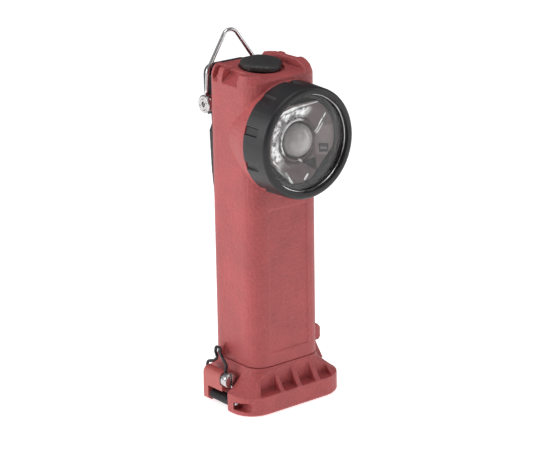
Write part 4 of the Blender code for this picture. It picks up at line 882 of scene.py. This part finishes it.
def make_lens():
    profile = softened([(0, LENS_FRONT - 1.0 * MM), (24.0 * MM, LENS_FRONT - 1.0 * MM),
                        (24.3 * MM, LENS_FRONT - LENS_T), (SPIGOT_R, LENS_FRONT - LENS_T),
                        (SPIGOT_R, LENS_FRONT), (0, LENS_FRONT)], 0.3 * MM, 3, closed=False)
    made = turned("front_lens", profile, AHEAD, HEAD, LOOKS["clear"], 128, closed=False)
    place_piece(made, "barrel", "clear", "lens")
    back, front = 30.6 * MM, LENS_FRONT - LENS_T - 0.1 * MM
    inner, outer = 23.3 * MM, 25.8 * MM
    profile = softened([(inner, back), (outer, back), (outer, front), (inner, front)], 0.3 * MM)
    made = turned("lens_seal", profile, AHEAD, HEAD, LOOKS["rubber"], 128)
    place_piece(made, "barrel", "rubber", "lens_gasket")
    middle, half = 24.75 * MM, 0.22 * MM
    profile = [(middle + half * math.cos(a), LENS_FRONT + 0.2 * MM + half * math.sin(a))
               for a in (2 * math.pi * i / 8 for i in range(8))]
    made = turned("lens_bead", profile, AHEAD, HEAD, LOOKS["steel"], 160)
    place_piece(made, "barrel", "steel")


def flat_sided(r, h, a):
    """The optic's rim has three flats."""
    reach = r
    for flat in (90, 225, 315):
        off = (a - math.radians(flat) + math.pi) % (2 * math.pi) - math.pi
        if abs(off) < math.radians(60):
            reach = min(reach, BOWL_FLAT / math.cos(off))
    return reach


def make_optic():
    face = [(9.0, 25.6), (9.3, 26.0), (9.8, 27.6), (10.4, 28.3), (11.1, 27.8), (11.5, 27.0), (12.0, 27.6),
            (13.2, 28.4), (15.0, 29.0), (17.4, 29.5), (18.4, 29.8), (20.2, 30.0), (21.6, 30.05), (22.0, 29.7)]
    under = [(22.0, 28.2), (17.0, 23.6), (12.0, 19.0), (9.0, 15.6), (8.0, 15.6), (8.0, 25.2)]
    profile = softened([(r * MM, h * MM) for r, h in face + under], 0.25 * MM, 2)
    made = turned("optic_body", profile, AHEAD, HEAD, OPTIC_REFLECTION_PAINT, 180, shape=flat_sided, crease=50)
    place_piece(made, "barrel", "optic", "collimator")
    low, top, tall = 26.2 * MM, 33.6 * MM, 6.6 * MM
    profile = [(0, low), (DOME_R - 0.2 * MM, low), (DOME_R, low + 0.3 * MM)]
    for i in range(15):
        a = math.radians(90 * i / 14)
        profile.append((DOME_R * math.cos(a), top - tall + tall * math.sin(a)))
    profile[-1] = (0, top)
    made = turned("optic_dome", profile, AHEAD, HEAD, LOOKS["optic"], 96, closed=False)
    place_piece(made, "barrel", "optic")


# ---------------------------------------------------------------- button

def eight_sided(r, h, a):
    """The button's round outline eased towards flats at its rear and front corners."""
    reach = r
    for flat, share in ((90, 0.93), (225, 0.915), (315, 0.915)):
        off = (a - math.radians(flat) + math.pi) % (2 * math.pi) - math.pi
        if abs(off) < math.radians(60):
            reach = min(reach, r * share / math.cos(off))
    return reach


def make_button():
    low, stem = -3.2 * MM, -8.6 * MM
    profile = softened([(0, stem), (7.5 * MM, stem), (7.5 * MM, low), (BUTTON_R, low),
                        (BUTTON_R, -1.35 * MM), (BUTTON_R - 1.0 * MM, -0.35 * MM),
                        (BUTTON_R - 3.0 * MM, -0.12 * MM), (BUTTON_R - 6.0 * MM, 0), (0, 0)],
                       0.28 * MM, 4, closed=False)
    made = turned("push_button", profile, BUTTON_AXIS, BUTTON_TOP, LOOKS["rubber"], 144, closed=False,
                  shape=lambda r, h, a: eight_sided(r, h, a) if r > 7.6 * MM else r, crease=50)
    place_piece(made, "button", "rubber", "button_boot")


# ---------------------------------------------------------------- wire parts and springs

def make_hanging_ring():
    lean = Matrix.Rotation(-RING_LEAN, 4, "X")
    eye_r = 2.8 * MM
    half = []
    for i in range(33):
        a = math.radians(-230 + 230 * i / 32)
        half.append(Vector((EYE_X, eye_r * math.cos(a), eye_r * math.sin(a))))
    route = [Vector((-p.x, p.y, p.z)) for p in half]
    legs = bent([
        (-EYE_X, eye_r, 0), (-EYE_X, 0.4 * MM, 6.5 * MM), (-EYE_X + 1.1 * MM, 0, RING_RISE - 19.0 * MM),
        (-2.6 * MM, 0, RING_RISE), (2.6 * MM, 0, RING_RISE), (EYE_X - 1.1 * MM, 0, RING_RISE - 19.0 * MM),
        (EYE_X, 0.4 * MM, 6.5 * MM), (EYE_X, eye_r, 0)], 4.5 * MM, 12)
    route += legs[1:-1] + list(reversed(half))
    route = [PIVOT + (lean @ p) for p in route]
    made = swept("hanging_ring", route, RING_WIRE, LOOKS["steel"], 24)
    place_piece(made, "ring_body", "steel", "d_ring")


def make_bail():
    eye = []
    for i in range(41):
        a = math.radians(100 - 320 * i / 40)
        eye.append(Vector((LATCH_X + BAIL_EYE * math.cos(a), BAIL_FRONT, SCREW_Z + BAIL_EYE * math.sin(a))))
    eye.reverse()
    x, top, rear = LATCH_X + 1.0 * MM, BAIL_TOP, BAIL_REAR
    legs = bent([
        eye[-1], (x, BAIL_FRONT, SCREW_Z + 6.4 * MM), (x + 0.9 * MM, 1.2 * MM, SCREW_Z + 9.2 * MM),
        (x + 1.0 * MM, 3.6 * MM, top - 1.9 * MM), (x + 2.2 * MM, 5.2 * MM, top),
        (x + 2.2 * MM, 8.9 * MM, top), (x + 1.0 * MM, 7.7 * MM, top - 2.3 * MM),
        (x + 0.9 * MM, rear - 7.4 * MM, SCREW_Z + 8.6 * MM),
        (x + 0.5 * MM, rear - 4.6 * MM, SCREW_Z + 6.2 * MM),
        (x, rear, SCREW_Z + 4.8 * MM), (LATCH_X, rear, SCREW_Z), (LATCH_X, rear - 3.4 * MM, SCREW_Z),
    ], 1.6 * MM, 8)
    made = swept("latch_wire", eye + legs[1:], BAIL_WIRE, LOOKS["black_steel"], 18)
    place_piece(made, "bail_loop", "black_steel", "latch_bail")


def make_springs():
    wire = 0.66 * MM
    along = Matrix.Rotation(math.radians(-90), 4, "X")
    spot = Matrix.Translation((LATCH_X, SPRING_LOW + wire, LATCH_Z)) @ along
    made = coil("latch_coil", LOOKS["black_steel"], spot, 11.0, COIL_R - wire, COIL_R - wire,
                SPRING_HIGH - SPRING_LOW - 2 * wire, wire)
    place_piece(made, "tail_cap_group", "black_steel", "latch_spring")
    for side in ("left", "right"):
        low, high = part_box(f"tail_spring_{side}")
        wire, foot, head = 0.5 * MM, 5.2 * MM, 3.0 * MM
        spot = Matrix.Translation((-CELL_X if side == "left" else CELL_X, 0, low.z + wire))
        made = coil(f"cell_spring_{side}", LOOKS["steel"], spot, 4.0, foot, head,
                    high.z - low.z - 2 * wire, wire)
        place_piece(made, "tail_cap_group", "steel", f"tail_spring_{side}")
    wire_r, turns, half = 0.65 * MM, 6, 5.4 * MM
    coil_r = 2.5 * MM + wire_r
    route = [Vector((-half, PIVOT.y - coil_r, PIVOT.z - 12 * MM))]
    for i in range(turns * 36 + 1):
        t = i / (turns * 36)
        a = math.pi + 2 * math.pi * turns * t
        route.append(Vector((-half + 2 * half * t, PIVOT.y + coil_r * math.cos(a),
                             PIVOT.z + coil_r * math.sin(a))))
    made = swept("clip_coil", route, wire_r, LOOKS["steel"], 12)
    place_piece(made, "barrel", "steel", "clip_spring")


# ---------------------------------------------------------------- screws

def make_screws():
    r, face, under = SCREW_R, SCREW_FACE, SCREW_UNDER
    profile = softened([(0, face), (r - 0.35 * MM, face), (r, face + 0.4 * MM), (r, under),
                        (1.5 * MM, under), (1.5 * MM, 7.5 * MM), (0, 7.5 * MM)], 0.2 * MM, 3, closed=False)
    made = turned("slotted_screw", profile, (0, 1, 0), (LATCH_X, 0, SCREW_Z), SCREW_LOOK, 96, closed=False)
    made = cut(made, [block((LATCH_X - 0.55 * MM, face - 2 * MM, SCREW_Z - 9 * MM),
                            (LATCH_X + 0.55 * MM, face + 1.3 * MM, SCREW_Z + 9 * MM))])
    ease = made.modifiers.new("ease", "BEVEL")
    ease.width, ease.segments, ease.limit_method, ease.angle_limit = 0.12 * MM, 2, "ANGLE", math.radians(40)
    made = baked(made, SCREW_LOOK)
    place_piece(made, "lever_group", "steel", "latch_screw")
    for side, name in ((-1, "left"), (1, "right")):
        inner = EYE_X + RING_WIRE + 0.3 * MM
        outer, head, deep = inner + 1.8 * MM, 4.75 * MM, 11.5 * MM
        profile = softened([
            (0, deep), (1.2 * MM, deep), (1.2 * MM, inner), (head, inner), (head, outer - 0.5 * MM),
            (head - 0.5 * MM, outer), (3.2 * MM, outer), (3.0 * MM, outer - 0.3 * MM),
            (2.7 * MM, outer - 0.3 * MM), (2.5 * MM, outer), (1.5 * MM, outer), (1.5 * MM, outer - 1.3 * MM),
            (0, outer - 1.3 * MM)], 0.15 * MM, 3, closed=False)
        made = turned(f"pivot_screw_{name}", profile, (side, 0, 0), PIVOT, PIVOT_LOOK, 96, closed=False)
        place_piece(made, "barrel", "steel", f"clip_screw_{name}")


# ---------------------------------------------------------------- camera, lights and floor

def make_camera():
    turn, rise, tip = math.radians(38.1), math.radians(17.99), math.radians(-0.97)
    away, focal_mm = 1.101, 141.8
    back = Vector((-math.sin(turn) * math.cos(rise), -math.cos(turn) * math.cos(rise), math.sin(rise)))
    level = Vector((math.cos(turn), -math.sin(turn), 0))
    up = back.cross(level)
    right = math.cos(tip) * level + math.sin(tip) * up
    up = -math.sin(tip) * level + math.cos(tip) * up
    spot = Vector((0, -0.001, 0.09)) + right * 0.0021 + up * 0.0027 + back * away
    lens = bpy.data.cameras.new("studio_camera")
    lens.sensor_width, lens.lens, lens.clip_start = 36.0, focal_mm, 0.01
    camera = bpy.data.objects.new("studio_camera", lens)
    bpy.context.scene.collection.objects.link(camera)
    camera.matrix_world = Matrix(((right.x, up.x, back.x, spot.x), (right.y, up.y, back.y, spot.y),
                                  (right.z, up.z, back.z, spot.z), (0, 0, 0, 1)))
    bpy.context.scene.camera = camera


def soft_light(name, place, target, size, watts, colour=(1, 1, 1)):
    lamp = bpy.data.lights.new(name, "AREA")
    lamp.shape, lamp.size, lamp.size_y, lamp.energy, lamp.color = "RECTANGLE", size[0], size[1], watts, colour
    obj = bpy.data.objects.new(name, lamp)
    bpy.context.scene.collection.objects.link(obj)
    obj.location = place
    obj.rotation_euler = (Vector(target) - Vector(place)).to_track_quat("-Z", "Y").to_euler()
    return obj


def make_studio():
    world = bpy.data.worlds.new("studio")
    bpy.context.scene.world = world
    world.use_nodes = True
    tree = world.node_tree
    sky = tree.nodes["Background"]
    way = node(tree, "ShaderNodeTexCoord").outputs["Generated"]
    parts = node(tree, "ShaderNodeSeparateXYZ", {0: way}).outputs
    side = spread(tree, calc(tree, "ADD", parts[0], calc(tree, "MULTIPLY", parts[1], -0.35)),
                  -0.75, -0.25, smooth=True)
    level = calc(tree, "MULTIPLY", spread(tree, parts[2], 0.80, 0.45, smooth=True), side)
    feed(tree, sky.inputs["Color"], blend(tree, level, (1.0, 1.0, 1.0), (0.13, 0.125, 0.13)))
    sky.inputs["Strength"].default_value = 0.40
    soft_light("left_panel", (-0.75, 0.35, 0.42), (0, 0, 0.09), (0.7, 0.5), 3.6)
    soft_light("top_panel", (-0.1, -0.15, 0.95), (0, 0, 0.1), (0.6, 0.6), 2.6)
    soft_light("front_panel", (0.1, -0.95, 0.5), (0, 0, 0.1), (0.35, 0.35), 0.9)
    soft_light("right_panel", (0.7, -0.45, 0.35), (0, 0, 0.1), (0.25, 0.6), 1.3)
    bm = bmesh.new()
    bmesh.ops.create_circle(bm, cap_ends=True, segments=96, radius=12.0)
    floor = from_bmesh("pale_floor", bm)
    floor.data.transform(Matrix.Translation((0, 0, -0.0003)))
    look, tree, shader = new_finish("pale_floor_paint", Roughness=0.9)
    skin = effect(tree, GRAIN, Scale=300.0, Mottle=3.0)
    feed(tree, shader.inputs["Base Color"], blend(tree, skin["Tone"], (0.93, 0.93, 0.93), (0.95, 0.95, 0.95)))
    shader.inputs["Emission Color"].default_value = (1, 1, 1, 1)
    shader.inputs["Emission Strength"].default_value = 0.68
    floor.data.materials.append(look)
    scene = bpy.context.scene
    scene.view_settings.view_transform = "Standard"
    scene.view_settings.look = "None"


# ---------------------------------------------------------------- the whole lamp

def dress_solids():
    """Gives each solid that stays in view its own finish."""
    slots = {row["node"]: row["material_slot"] for row in frame["record"]["subparts"]}
    for name, solid in frame["nodes"].items():
        look = LOOKS[slots[name]]
        if not solid.material_slots:
            solid.data.materials.append(look)
        for held in solid.material_slots:
            held.material = look


make_camera()
make_studio()
dress_solids()
make_barrel()
make_tail_cap()
make_lever()
make_clip()
make_bezel()
make_lens()
make_optic()
make_button()
make_hanging_ring()
make_bail()
make_springs()
make_screws()
